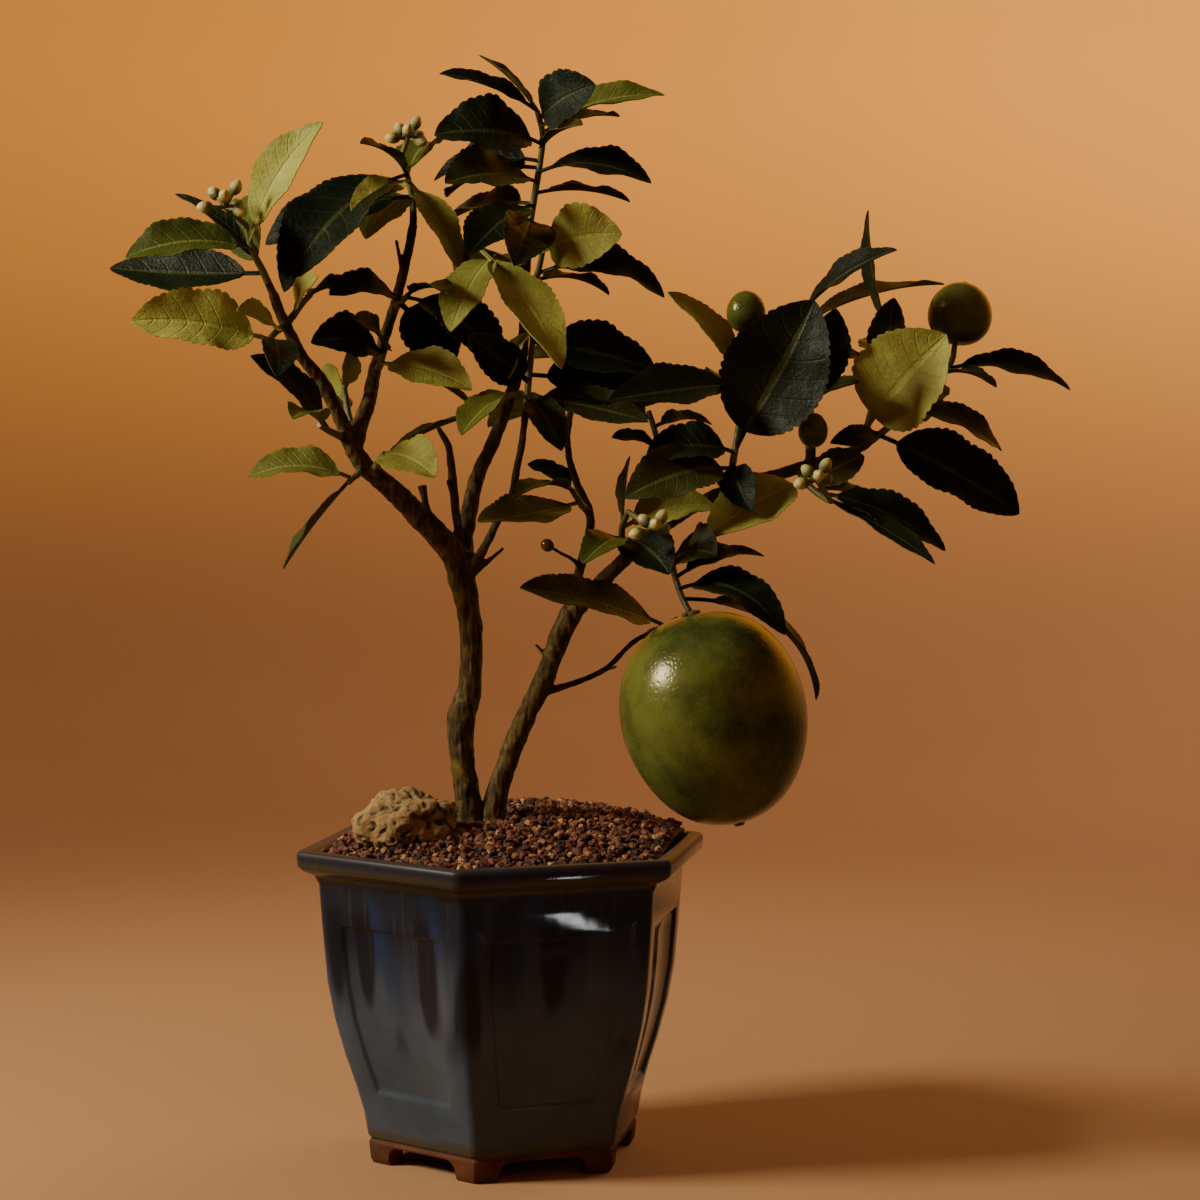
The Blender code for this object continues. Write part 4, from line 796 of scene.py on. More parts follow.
def tube(name, points, radii, roundness=3):
    """A round tube through points, its radii in mm, made from a curve."""
    curve = bpy.data.curves.new(name, "CURVE")
    curve.dimensions = "3D"
    curve.bevel_depth = MM
    curve.bevel_resolution = roundness
    curve.use_fill_caps = True
    spline = curve.splines.new("POLY")
    spline.points.add(len(points) - 1)
    for dot, place, radius in zip(spline.points, points, radii):
        dot.co = (*place[:3], 1.0)
        dot.radius = radius
    item = bpy.data.objects.new(name, curve)
    bpy.context.scene.collection.objects.link(item)
    only(item)
    bpy.ops.object.convert(target="MESH")
    return clean(named(name))


# Materials

def put(tree, kind, inputs=None, **settings):
    """Add a node, set it up and feed its inputs with numbers or other nodes' outputs."""
    made = tree.nodes.new(kind)
    for key, value in settings.items():
        setattr(made, key, value)
    for key, value in (inputs or {}).items():
        if isinstance(value, bpy.types.NodeSocket):
            tree.links.new(value, made.inputs[key])
        else:
            made.inputs[key].default_value = value
    return made


def maths(tree, operation, *values):
    return put(tree, "ShaderNodeMath", dict(enumerate(values)), operation=operation).outputs[0]


def fade(tree, value, start, end, low=0.0, high=1.0):
    """Run a value from low to high, smoothly, as it goes from start to end."""
    made = put(tree, "ShaderNodeMapRange", {0: value, 1: start, 2: end, 3: low, 4: high},
               interpolation_type="SMOOTHSTEP")
    return made.outputs[0]


def mix(tree, part, first, second):
    """Blend two colours, each a node's output or linear light."""
    feeds = {0: part}
    for place, value in ((6, first), (7, second)):
        feeds[place] = value if isinstance(value, bpy.types.NodeSocket) else (*value[:], 1.0)
    return put(tree, "ShaderNodeMix", feeds, data_type="RGBA").outputs[2]


def lay(tree, mask, strength, under, over):
    """Lay a colour over another where a mask says so, at less than full strength."""
    return mix(tree, maths(tree, "MULTIPLY", mask, strength), under, over)


def ramp(tree, value, stops):
    """Turn a value into a colour by a list of (place, colour)."""
    made = put(tree, "ShaderNodeValToRGB", {0: value})
    dots = made.color_ramp.elements
    while len(dots) < len(stops):
        dots.new(1.0)
    for dot, (place, tone) in zip(dots, stops):
        dot.position = place
        dot.color = (*tone[:], 1.0)
    return made.outputs[0]


def speckle(tree, vector, scale, detail=3.0, roughness=0.55):
    made = put(tree, "ShaderNodeTexNoise", {"Vector": vector, "Scale": scale, "Detail": detail,
                                            "Roughness": roughness})
    return made.outputs["Fac"]


def place_of(tree, stretch=(1.0, 1.0, 1.0)):
    """Object coordinates with the pot's axis as their middle, stretched along X, Y and Z."""
    spot = put(tree, "ShaderNodeTexCoord").outputs["Object"]
    middle = [-a * s for a, s in zip(AXIS, stretch)]
    return put(tree, "ShaderNodeMapping", {"Vector": spot, "Location": middle, "Scale": stretch}
               ).outputs["Vector"]


def attribute(tree, name):
    return put(tree, "ShaderNodeAttribute", attribute_name=name).outputs["Fac"]


def use(tree, group, **inputs):
    """Place a shader group in a material with its own values."""
    feeds = {key.replace("_", " ").title(): value for key, value in inputs.items()}
    return put(tree, "ShaderNodeGroup", feeds, node_tree=group).outputs


def new_group(name, inputs, outputs):
    """An empty shader group with (name, kind, default) inputs and named outputs."""
    tree = bpy.data.node_groups.new(name, "ShaderNodeTree")
    for label, kind, default in inputs:
        socket = tree.interface.new_socket(name=label, in_out="INPUT", socket_type=kind)
        if default is not None:
            socket.default_value = default
    for label in outputs:
        tree.interface.new_socket(name=label, in_out="OUTPUT", socket_type="NodeSocketFloat")
    return tree, tree.nodes.new("NodeGroupInput").outputs, tree.nodes.new("NodeGroupOutput").inputs


def mottle_group():
    """Soft uneven tone: a coarse and a fine cloud, 0 to 1."""
    found = bpy.data.node_groups.get("Mottle")
    if found:
        return found
    tree, feed, out = new_group("Mottle", [
        ("Vector", "NodeSocketVector", None), ("Scale", "NodeSocketFloat", 60.0),
        ("Fine Share", "NodeSocketFloat", 0.35),
    ], ["Value"])
    coarse = speckle(tree, feed["Vector"], feed["Scale"], 2.0)
    fine = speckle(tree, feed["Vector"], maths(tree, "MULTIPLY", feed["Scale"], 5.3), 4.0, 0.7)
    step = maths(tree, "SUBTRACT", fine, coarse)
    both = maths(tree, "MULTIPLY_ADD", step, feed["Fine Share"], coarse)
    tree.links.new(fade(tree, both, 0.3, 0.7), out["Value"])
    return tree


def vein_group():
    """A leaf's midrib, side veins and fine net, from its own map: across in X, along in Y."""
    found = bpy.data.node_groups.get("Leaf Veins")
    if found:
        return found
    tree, feed, out = new_group("Leaf Veins", [
        ("Map", "NodeSocketVector", None), ("Pairs", "NodeSocketFloat", 8.0),
        ("Slant", "NodeSocketFloat", 0.17),
    ], ["Midrib", "Veins", "Net", "Margin"])
    split = put(tree, "ShaderNodeSeparateXYZ", {0: feed["Map"]}).outputs
    off = maths(tree, "ABSOLUTE", maths(tree, "MULTIPLY_ADD", split["X"], 2.0, -1.0))
    tree.links.new(fade(tree, off, 0.035, 0.11, 1.0, 0.0), out["Midrib"])
    lean = maths(tree, "MULTIPLY", maths(tree, "POWER", off, 1.25), feed["Slant"])
    phase = maths(tree, "MULTIPLY", maths(tree, "SUBTRACT", split["Y"], lean), feed["Pairs"])
    away = maths(tree, "PINGPONG", phase, 0.5)
    vein = fade(tree, away, 0.015, 0.085, 1.0, 0.0)
    inner = fade(tree, off, 0.72, 0.98, 1.0, 0.0)
    tree.links.new(maths(tree, "MULTIPLY", vein, inner), out["Veins"])
    cells = put(tree, "ShaderNodeMapping", {"Vector": feed["Map"], "Scale": (15.0, 44.0, 1.0)})
    net = put(tree, "ShaderNodeTexVoronoi", {"Vector": cells.outputs["Vector"], "Scale": 1.0},
              feature="DISTANCE_TO_EDGE").outputs["Distance"]
    tree.links.new(fade(tree, net, 0.02, 0.16, 1.0, 0.0), out["Net"])
    tree.links.new(fade(tree, off, 0.86, 1.0), out["Margin"])
    return tree


def pore_group():
    """Oil pores of a citrus peel: small round pits, 1 at their middles."""
    found = bpy.data.node_groups.get("Peel Pores")
    if found:
        return found
    tree, feed, out = new_group("Peel Pores", [
        ("Vector", "NodeSocketVector", None), ("Scale", "NodeSocketFloat", 600.0),
    ], ["Pits", "Swell"])
    cells = put(tree, "ShaderNodeTexVoronoi", {"Vector": feed["Vector"], "Scale": feed["Scale"]},
                feature="SMOOTH_F1").outputs["Distance"]
    tree.links.new(fade(tree, cells, 0.12, 0.42, 1.0, 0.0), out["Pits"])
    swell = speckle(tree, feed["Vector"], maths(tree, "MULTIPLY", feed["Scale"], 0.16), 2.0)
    tree.links.new(swell, out["Swell"])
    return tree


def clouds(tree, spot, scale, fine_share):
    """Soft uneven tone of a material, 0 to 1."""
    return use(tree, mottle_group(), vector=spot, scale=scale, fine_share=fine_share)[0]


def new_material(name):
    made = bpy.data.materials.new(name)
    made.use_nodes = True
    return made, made.node_tree, made.node_tree.nodes["Principled BSDF"]


def surface(tree, shader, colour, roughness, height, distance, strength=1.0, **fixed):
    """Wire a colour, a roughness and a relief into a material; fixed values go on its shader."""
    tree.links.new(colour, shader.inputs["Base Color"])
    tree.links.new(roughness, shader.inputs["Roughness"])
    bump = put(tree, "ShaderNodeBump", {"Height": height, "Distance": distance,
                                        "Strength": strength})
    tree.links.new(bump.outputs["Normal"], shader.inputs["Normal"])
    for key, value in fixed.items():
        shader.inputs[key.replace("_", " ").title().replace("Ior", "IOR")].default_value = value


def glaze_material(look):
    """Dark glaze with blue runs, olive where it breaks over edges, and bare clay feet."""
    made, tree, shader = new_material("Glaze")
    spot = place_of(tree)
    height = put(tree, "ShaderNodeSeparateXYZ", {0: spot}).outputs["Z"]
    streaks = place_of(tree, (1.0, 1.0, 0.13))
    runs = speckle(tree, streaks, 74.0, 2.0, 0.5)
    fine_runs = speckle(tree, place_of(tree, (1.0, 1.0, 0.05)), 330.0, 3.0, 0.6)
    cloud = clouds(tree, spot, 38.0, 0.4)
    reach = maths(tree, "MULTIPLY_ADD", runs, 0.05, height)
    wall = mix(tree, fade(tree, reach, *GLAZE_DEEP), look.lower, look.glaze)
    wall = lay(tree, cloud, 0.3, wall, paint(26, 30, 36))
    pools = speckle(tree, place_of(tree, (1.0, 1.0, 0.4)), 46.0, 2.0, 0.5)
    blue = maths(tree, "MULTIPLY", fade(tree, pools, 0.5, 0.66),
                 fade(tree, reach, *GLAZE_BLUE))
    wall = lay(tree, blue, 0.75, wall, look.drip)
    cells = put(tree, "ShaderNodeTexVoronoi", {"Vector": streaks, "Scale": 62.0, "Randomness": 0.9},
                feature="SMOOTH_F1").outputs["Distance"]
    tears = maths(tree, "MULTIPLY", fade(tree, cells, 0.36, 0.24),
                  maths(tree, "MULTIPLY", fade(tree, height, *TEARS_FOOT),
                        fade(tree, height, *TEARS_HEAD)))
    wall = lay(tree, tears, 0.85, wall, paint(6, 10, 20))
    bloom = maths(tree, "MULTIPLY", fade(tree, fine_runs, 0.44, 0.3),
                  fade(tree, height, *BLOOM_RISE))
    wall = lay(tree, bloom, 0.3, wall, look.breaking)
    lip = maths(tree, "MULTIPLY", fade(tree, height, *LIP_EDGES[0]),
                fade(tree, height, *LIP_EDGES[1]))
    wall = lay(tree, lip, 0.75, wall, look.breaking)
    top = fade(tree, height, *RIM_FACE)
    wall = lay(tree, top, 0.5, wall, paint(56, 52, 48))
    low = fade(tree, maths(tree, "MULTIPLY_ADD", cloud, 0.003, height), *WORN_FOOT)
    wall = lay(tree, low, 0.75, wall, look.breaking)
    bare = fade(tree, maths(tree, "MULTIPLY_ADD", cloud, 0.0012, height), *BARE_CLAY)
    clay = mix(tree, cloud, look.clay, paint(54, 34, 22))
    colour = mix(tree, bare, wall, clay)
    rough = maths(tree, "MULTIPLY_ADD", bare, 0.6, fade(tree, cloud, 0.0, 1.0, 0.05, 0.12))
    rough = maths(tree, "MULTIPLY_ADD", top, 0.35, rough)
    grit = speckle(tree, spot, 900.0, 4.0, 0.7)
    relief = maths(tree, "MULTIPLY_ADD", grit, maths(tree, "MULTIPLY_ADD", bare, 0.8, 0.1),
                   maths(tree, "MULTIPLY", runs, 0.8))
    surface(tree, shader, colour, rough, relief, 0.0005, 0.25, specular_ior_level=0.17)
    return made


def earth_material(name, dark, pale, scale, rough):
    """Crumbly soil, or with other values the dull plastic of the screen."""
    made, tree, shader = new_material(name)
    spot = place_of(tree)
    cloud = clouds(tree, spot, scale, 0.6)
    colour = mix(tree, cloud, dark, pale)
    surface(tree, shader, colour, fade(tree, cloud, 0.0, 1.0, rough, rough - 0.12), cloud, 0.0008)
    return made


def gravel_material(look):
    """Baked clay and quartz grains, each with its own colour."""
    made, tree, shader = new_material("Gravel grains")
    spot = place_of(tree)
    colour = ramp(tree, attribute(tree, "grain_tone"), [
        (0.0, look.dark), (0.22, paint(58, 25, 12)), (0.45, look.warm), (0.62, paint(118, 58, 24)),
        (0.78, paint(98, 60, 30)), (0.92, look.pale), (1.0, paint(184, 142, 88)),
    ])
    cloud = clouds(tree, spot, 420.0, 0.5)
    colour = lay(tree, cloud, 0.65, colour, paint(40, 18, 10))
    grit = speckle(tree, spot, 2600.0, 3.0, 0.7)
    surface(tree, shader, colour, fade(tree, cloud, 0.0, 1.0, 0.62, 0.88), grit, 0.0003, 0.7)
    return made


def rock_material(look):
    """Rough pale stone with lichen-like olive patches, its pits painted dark as painted shade in
    the hollows.
    """
    made, tree, shader = new_material("Pitted rock")
    spot = place_of(tree)
    cloud = clouds(tree, spot, 95.0, 0.5)
    # Painted shade: the pits are painted dark
    pits = fade(tree, attribute(tree, "pit_shade"), 0.35, 0.75)
    colour = mix(tree, cloud, look.pale, paint(116, 90, 48))
    colour = mix(tree, pits, colour, look.dark)
    grit = speckle(tree, spot, 1500.0, 5.0, 0.75)
    colour = mix(tree, fade(tree, grit, 0.62, 0.4, 0.0, 0.4), colour, paint(120, 108, 70))
    surface(tree, shader, colour, fade(tree, cloud, 0.0, 1.0, 0.8, 0.95), grit, 0.0007, 0.8)
    return made


def bark_material(look):
    """Olive-brown bark, furrowed along the limbs and greener on thin twigs; the ridges take the lit
    bark colour and the furrows a painted shade.
    """
    made, tree, shader = new_material("Citrus bark")
    spot = place_of(tree)
    ridge = speckle(tree, place_of(tree, (1.0, 1.0, 0.28)), 520.0, 4.0, 0.65)
    cloud = clouds(tree, spot, 70.0, 0.45)
    # Painted light and shade: the ridges take the lit bark colour, the furrows the dark one
    colour = mix(tree, fade(tree, ridge, 0.38, 0.6), look.dark, look.lit)
    colour = lay(tree, cloud, 0.4, colour, paint(44, 36, 12))
    young = fade(tree, attribute(tree, "slender"), 0.25, 0.9)
    colour = lay(tree, young, 0.7, colour, look.green)
    corky = fade(tree, speckle(tree, spot, 160.0, 2.0), 0.6, 0.68)
    colour = lay(tree, corky, 0.35, colour, paint(112, 92, 34))
    surface(tree, shader, colour, fade(tree, cloud, 0.0, 1.0, 0.62, 0.85), ridge, 0.0005, 0.8,
            specular_ior_level=0.2)
    return made


def leaf_materials(look):
    """The glossy upper side, the dull paler underside and the green stems; a leaf's tone paints its
    light and shade into its colour.
    """
    made = []
    for name, upper in (("Leaf upper side", True), ("Leaf underside", False)):
        fresh, tree, shader = new_material(name)
        layout = put(tree, "ShaderNodeUVMap", uv_map="UVMap").outputs["UV"]
        spot = place_of(tree)
        cloud = clouds(tree, spot, 120.0, 0.4)
        tone = attribute(tree, "tone")
        pairs = fade(tree, attribute(tree, "own"), 0.0, 1.0, 7.0, 10.0)
        veins = use(tree, vein_group(), map=layout, pairs=pairs, slant=0.17)
        # Painted light and shade: each leaf's tone picks its colour, from dark to light
        colour = ramp(tree, tone, [
            (0.0, look.dark), (0.33, look.olive), (0.66, look.middle), (1.0, look.light),
        ])
        own = attribute(tree, "own")
        # A warm yellow, random for each leaf, that grows with the tone: more painted light
        warm = maths(tree, "MULTIPLY", own, fade(tree, tone, 0.2, 1.0, 0.0, 0.3))
        colour = mix(tree, warm, colour, paint(128, 112, 40))
        colour = lay(tree, cloud, 0.3, colour, paint(20, 30, 10))
        pale = mix(tree, fade(tree, tone, 0.0, 1.0, 0.06, 0.3), colour, paint(186, 184, 96))
        lines = maths(tree, "MULTIPLY_ADD", veins["Midrib"], 0.75,
                      maths(tree, "MULTIPLY", veins["Veins"], 0.16 if upper else 0.35))
        lines = maths(tree, "MULTIPLY_ADD", veins["Net"], 0.05, lines)
        colour = mix(tree, lines, colour, pale)
        colour = lay(tree, veins["Margin"], 0.25, colour, pale)
        if not upper:
            # The underside pales with the tone too: painted light on the lit leaves
            colour = mix(tree, fade(tree, tone, 0.0, 1.0, 0.03, 0.35), colour, paint(108, 114, 56))
        sink = maths(tree, "MULTIPLY_ADD", veins["Veins"], 0.6, veins["Midrib"])
        relief = maths(tree, "MULTIPLY_ADD", sink, -1.0 if upper else 1.0,
                       maths(tree, "MULTIPLY_ADD", veins["Net"], -0.12, cloud))
        rough = fade(tree, cloud, 0.0, 1.0, *((0.36, 0.5) if upper else (0.6, 0.72)))
        surface(tree, shader, colour, rough, relief, 0.0005, 0.6,
                specular_ior_level=0.12 if upper else 0.08)
        made.append(fresh)
    fresh, tree, shader = new_material("Green stem")
    spot = place_of(tree)
    cloud = clouds(tree, spot, 160.0, 0.4)
    ridge = speckle(tree, place_of(tree, (1.0, 1.0, 0.2)), 900.0)
    colour = mix(tree, cloud, look.stem, paint(84, 84, 40))
    surface(tree, shader, colour, fade(tree, cloud, 0.0, 1.0, 0.4, 0.55), ridge, 0.0004)
    made.append(fresh)
    return made


def bud_material(look):
    """Buds that pale from a green base to cream tips."""
    made, tree, shader = new_material("Flower bud")
    spot = place_of(tree)
    cloud = clouds(tree, spot, 300.0, 0.4)
    lift = maths(tree, "MULTIPLY_ADD", cloud, 0.25, attribute(tree, "ripe"))
    colour = mix(tree, fade(tree, lift, 0.35, 0.95), look.base, look.petal)
    grain = speckle(tree, spot, 1400.0)
    surface(tree, shader, colour, fade(tree, cloud, 0.0, 1.0, 0.42, 0.6), grain, 0.0003)
    return made


def peel_material(name, look, scale):
    """Glossy green peel with oil pores."""
    made, tree, shader = new_material(name)
    spot = place_of(tree)
    pores = use(tree, pore_group(), vector=spot, scale=scale)
    cloud = clouds(tree, spot, 45.0, 0.3)
    colour = mix(tree, cloud, look.dark, look.light)
    colour = lay(tree, pores["Pits"], 0.2, colour, paint(74, 84, 28))
    tip = fade(tree, attribute(tree, "blossom_end"), 0.2, 0.9)
    colour = mix(tree, tip, colour, paint(86, 62, 34))
    relief = maths(tree, "MULTIPLY_ADD", pores["Pits"], -0.8, pores["Swell"])
    rough = fade(tree, cloud, 0.0, 1.0, 0.2, 0.26)
    surface(tree, shader, colour, rough, relief, 0.0003, 0.22, specular_ior_level=0.3,
            specular_tint=(1.0, 0.84, 0.52, 1.0))
    return made


def stage_material(look):
    """Matt paper that runs from the pale floor up to the warm backdrop, darkened there by painted
    shade and with a painted glow at its top.
    """
    made, tree, shader = new_material("Paper sweep")
    spot = place_of(tree)
    height = put(tree, "ShaderNodeSeparateXYZ", {0: spot}).outputs["Z"]
    away = put(tree, "ShaderNodeVectorMath", {0: place_of(tree, (1.0, 1.0, 0.0))},
               operation="LENGTH").outputs["Value"]
    path = maths(tree, "ADD", away, height)
    # Floor to backdrop: the warm paper of the backdrop is darkened by painted shade
    colour = mix(tree, fade(tree, path, 0.2, 0.95), look.floor, look.backdrop)
    # Painted glow: the backdrop is painted lighter towards its top
    colour = mix(tree, fade(tree, height, 0.08, 0.66), colour, look.upper)
    cloud = clouds(tree, spot, 3.0, 0.2)
    colour = lay(tree, cloud, 0.06, colour, paint(160, 120, 84))
    surface(tree, shader, colour, fade(tree, cloud, 0.0, 1.0, 0.8, 0.9), cloud, 0.0001)
    return made


# Pieces

def side_turn(side):
    """The way that a side of the pot looks, as an angle about its axis."""
    return POT_TURN + (side + 0.5) * 2 * math.pi / POT_SIDES


def pot_form():
    """The bare form: a six-sided face extruded ring by ring, up the wall and down the inside."""
    rings = POT_FOOT + POT_WALL + POT_LIP + POT_INSIDE
    radius, height = rings[0]
    nothing()
    bpy.ops.mesh.primitive_circle_add(
        vertices=POT_SIDES, radius=radius * MM, fill_type="NGON",
        location=(AXIS.x, AXIS.y, height * MM), rotation=(0, 0, POT_TURN - math.pi / 2))
    pot = named("glazed_pot")
    settle()
    whole(pot)
    for wider, higher in rings[1:]:
        bpy.ops.mesh.extrude_region_move(
            TRANSFORM_OT_translate={"value": (0, 0, (higher - height) * MM)})
        grow = wider / radius
        bpy.ops.transform.resize(value=(grow, grow, 1), center_override=tuple(AXIS))
        radius, height = wider, higher
    return clean(pot)


def round_corners(pot):
    """Round the six corners of the wall and the lip."""
    first, last = len(POT_FOOT), len(POT_FOOT + POT_WALL + POT_LIP) - 3

    def corner(line):
        a, b = (v // POT_SIDES for v in line.vertices)
        return a != b and first <= min(a, b) and max(a, b) <= last

    choose(pot, "EDGE", corner)
    bpy.ops.mesh.bevel(offset=CORNER_ROUND * MM, segments=4, profile=0.5, affect="EDGES",
                       clamp_overlap=True)


def sink_panels(pot):
    """Sink a panel with a border into each side of the wall."""
    for side in range(POT_SIDES):
        turn = side_turn(side)
        outward = Vector((math.cos(turn), math.sin(turn), 0.0))
        choose(pot, "FACE", lambda face: (
            face.normal.dot(outward) > PANEL_FACING and face.area > PANEL_LEAST_AREA * MM * MM
            and PANEL[0] * MM < face.center.z < PANEL[1] * MM
            and (face.center - AXIS).dot(outward) > PANEL_LEAST_REACH * MM))
        bpy.ops.mesh.inset(thickness=PANEL_BORDER * MM, depth=0.0, use_even_offset=True)
        for depth in (0.2, 0.6, 0.2):
            bpy.ops.mesh.inset(thickness=PANEL_STEP / 2 * MM, depth=-depth * PANEL_STEP * MM,
                               use_even_offset=True)


def upper_and_long(a, b):
    """Whether an edge between two points of an arch's cutter is one of its long upper ones."""
    return min(a.z, b.z) > 0 and abs(a.x - b.x) > MM


def pot_cutters():
    """Round-topped bars that cut the arches between the feet, and a drill for the drain hole."""
    cutters = []
    for bar in range(POT_SIDES // 2):
        nothing()
        bpy.ops.mesh.primitive_cube_add(size=1, location=(0, 0, 0))
        cutter = named("foot arch cutter")
        cutter.scale = (FOOT_ARCH_LENGTH * MM, FOOT_OPENING * MM, 2 * FOOT_ARCH_HEIGHT * MM)
        settle()
        choose(cutter, "EDGE", lambda line: upper_and_long(*ends(cutter, line)))
        bpy.ops.mesh.bevel(offset=FOOT_ARCH_ROUND * MM, segments=6, affect="EDGES")
        nothing()
        turn = Matrix.Rotation(side_turn(bar), 4, "Z")
        cutter.data.transform(Matrix.Translation(AXIS) @ turn)
        cutters.append(cutter)
    nothing()
    bpy.ops.mesh.primitive_cylinder_add(
        vertices=40, radius=DRAIN_RADIUS * MM, depth=DRAIN_DEPTH * MM,
        location=(AXIS.x, AXIS.y, DRAIN_DEPTH / 2 * MM))
    cutters.append(named("drain hole cutter"))
    settle()
    return cutters


def make_pot(look):
    """The six-sided pot, with rounded corners, sunk panels, feet and a drain hole."""
    pot = pot_form()
    round_corners(pot)
    sink_panels(pot)
    for cutter in pot_cutters():
        shape(pot, "BOOLEAN", operation="DIFFERENCE", object=cutter, solver="EXACT")
        discard(cutter)
    shape(pot, "BEVEL", width=look.edge, segments=2, limit_method="ANGLE",
          angle_limit=math.radians(28), use_clamp_overlap=True)
    paint_with(smooth(pot, 32), glaze_material(look))
    hand_over(pot, "pot")


def inside_rim(x, y, margin):
    """Whether a place on the gravel, in mm from the pot's axis, is inside its six sides."""
    reach = GRAVEL_EDGE[0] * math.cos(math.pi / POT_SIDES) - margin
    for side in range(POT_SIDES):
        turn = side_turn(side)
        if x * math.cos(turn) + y * math.sin(turn) > reach:
            return False
    return True


def mound(x, y):
    """Height of the gravel in mm over a place, without its grains."""
    away = math.hypot(x - GRAVEL_PEAK_AT[0], y - GRAVEL_PEAK_AT[1]) / GRAVEL_REACH
    return GRAVEL_EDGE[1] + (GRAVEL_PEAK - GRAVEL_EDGE[1]) * max(0.0, 1 - away ** 2)


def gravel_bed():
    """The heap under the loose grains, six-sided and domed."""
    nothing()
    bpy.ops.mesh.primitive_circle_add(
        vertices=POT_SIDES, radius=GRAVEL_EDGE[0] * MM, fill_type="TRIFAN",
        location=tuple(AXIS), rotation=(0, 0, POT_TURN - math.pi / 2))
    bed = named("gravel_grains")
    settle()
    whole(bed)
    bpy.ops.mesh.subdivide(number_cuts=BED_CUTS)
    nothing()
    places = points_of(bed)
    for spot in places:
        spot[2] = (mound((spot[0] - AXIS.x) / MM, (spot[1] - AXIS.y) / MM) - BED_BELOW_GRAINS) * MM
    set_points(bed, places)
    whole(bed)
    bpy.ops.mesh.region_to_loop()
    bpy.ops.mesh.extrude_edges_move(TRANSFORM_OT_translate={"value": (0, 0, -0.001)})
    nothing()
    places = points_of(bed)
    foot = np.array([v.select for v in bed.data.vertices])
    places[foot, :2] = AXIS.xy[:] + (places[foot, :2] - AXIS.xy[:]) * (
        GRAVEL_FOOT[0] / GRAVEL_EDGE[0])
    places[foot, 2] = GRAVEL_FOOT[1] * MM
    set_points(bed, places)
    edit(bed)
    bpy.ops.mesh.edge_face_add()
    clean(bed)
    # Painted shade: the bed between the grains gets a dark grain tone
    set_value(bed, "grain_tone", BED_SHADE_TONE)
    return bed


def grain_masters(size):
    """Broken grains of a few dozen faces, about as wide as they are asked to be."""
    masters = []
    for number in range(GRAIN_KINDS):
        nothing()
        bpy.ops.mesh.primitive_ico_sphere_add(subdivisions=2, radius=size / 2, location=(0, 0, 0))
        grain = named("grain")
        places = points_of(grain)
        for spot in places:
            way = Vector(spot).normalized()
            bump = noise.noise(way * 1.4 + Vector((number * 7.0, 0, 0)))
            spot *= 1.0 + GRAIN_ROUGHNESS * bump
        set_points(grain, places)
        for cut in range(GRAIN_BREAKS):
            turn = cut * 2.2 + number
            way = Vector((math.cos(turn), math.sin(turn), 0.5 - 0.5 * cut)).normalized()
            whole(grain)
            bpy.ops.mesh.bisect(plane_co=tuple(way * size * GRAIN_BREAK_AT), plane_no=tuple(way),
                                use_fill=True, clear_outer=True)
        clean(grain)
        shape(grain, "DECIMATE", ratio=0.55)
        masters.append(grain)
    return masters


def lay_grain(master, x, y, draw):
    """A copy of a broken grain at a place on the heap, with its own size, turn, lift and tone."""
    grain = twin(master, "grain")
    size = draw.uniform(*GRAIN_SIZES)
    squat = draw.uniform(*GRAIN_HEIGHTS)
    turn = Matrix.Rotation(draw.uniform(0, 6.28), 4, "Z") @ Matrix.Rotation(
        draw.uniform(-GRAIN_TILT, GRAIN_TILT), 4, "X")
    lift = mound(x, y) + draw.uniform(*GRAIN_LIFTS)
    place = AXIS + Vector((x, y, lift)) * MM
    grain.data.transform(Matrix.Translation(place) @ turn @ Matrix.Diagonal(
        (size, size * draw.uniform(0.75, 1.0), size * squat, 1.0)))
    set_value(grain, "grain_tone", draw.random())
    return grain


def make_gravel(look):
    """The bed with its loose grains, joined into one piece."""
    draw = random.Random(GRAIN_SEED)
    bed = gravel_bed()
    masters = grain_masters(look.grain)
    low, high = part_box("stone")
    middle = ((low + high) / 2 - AXIS) / MM
    spans = (high - low) / 2 / MM
    grains = []
    while len(grains) < look.grains:
        x, y = draw.uniform(-GRAIN_SPREAD, GRAIN_SPREAD), draw.uniform(-GRAIN_SPREAD, GRAIN_SPREAD)
        if not inside_rim(x, y, look.grain / MM * 0.5):
            continue
        if math.hypot((x - ROOT_AT[0]) / ROOT_RADII[0], (y - ROOT_AT[1]) / ROOT_RADII[1]) < 1.0:
            continue
        if math.hypot((x - middle.x) / spans.x, (y - middle.y) / spans.y) < CLEAR_OF_STONE:
            continue
        grains.append(lay_grain(masters[len(grains) % len(masters)], x, y, draw))
    for master in masters:
        discard(master)
    gravel = join("gravel_grains", [bed] + grains)
    paint_with(smooth(gravel, 28), gravel_material(look))
    hand_over(gravel, "gravel")


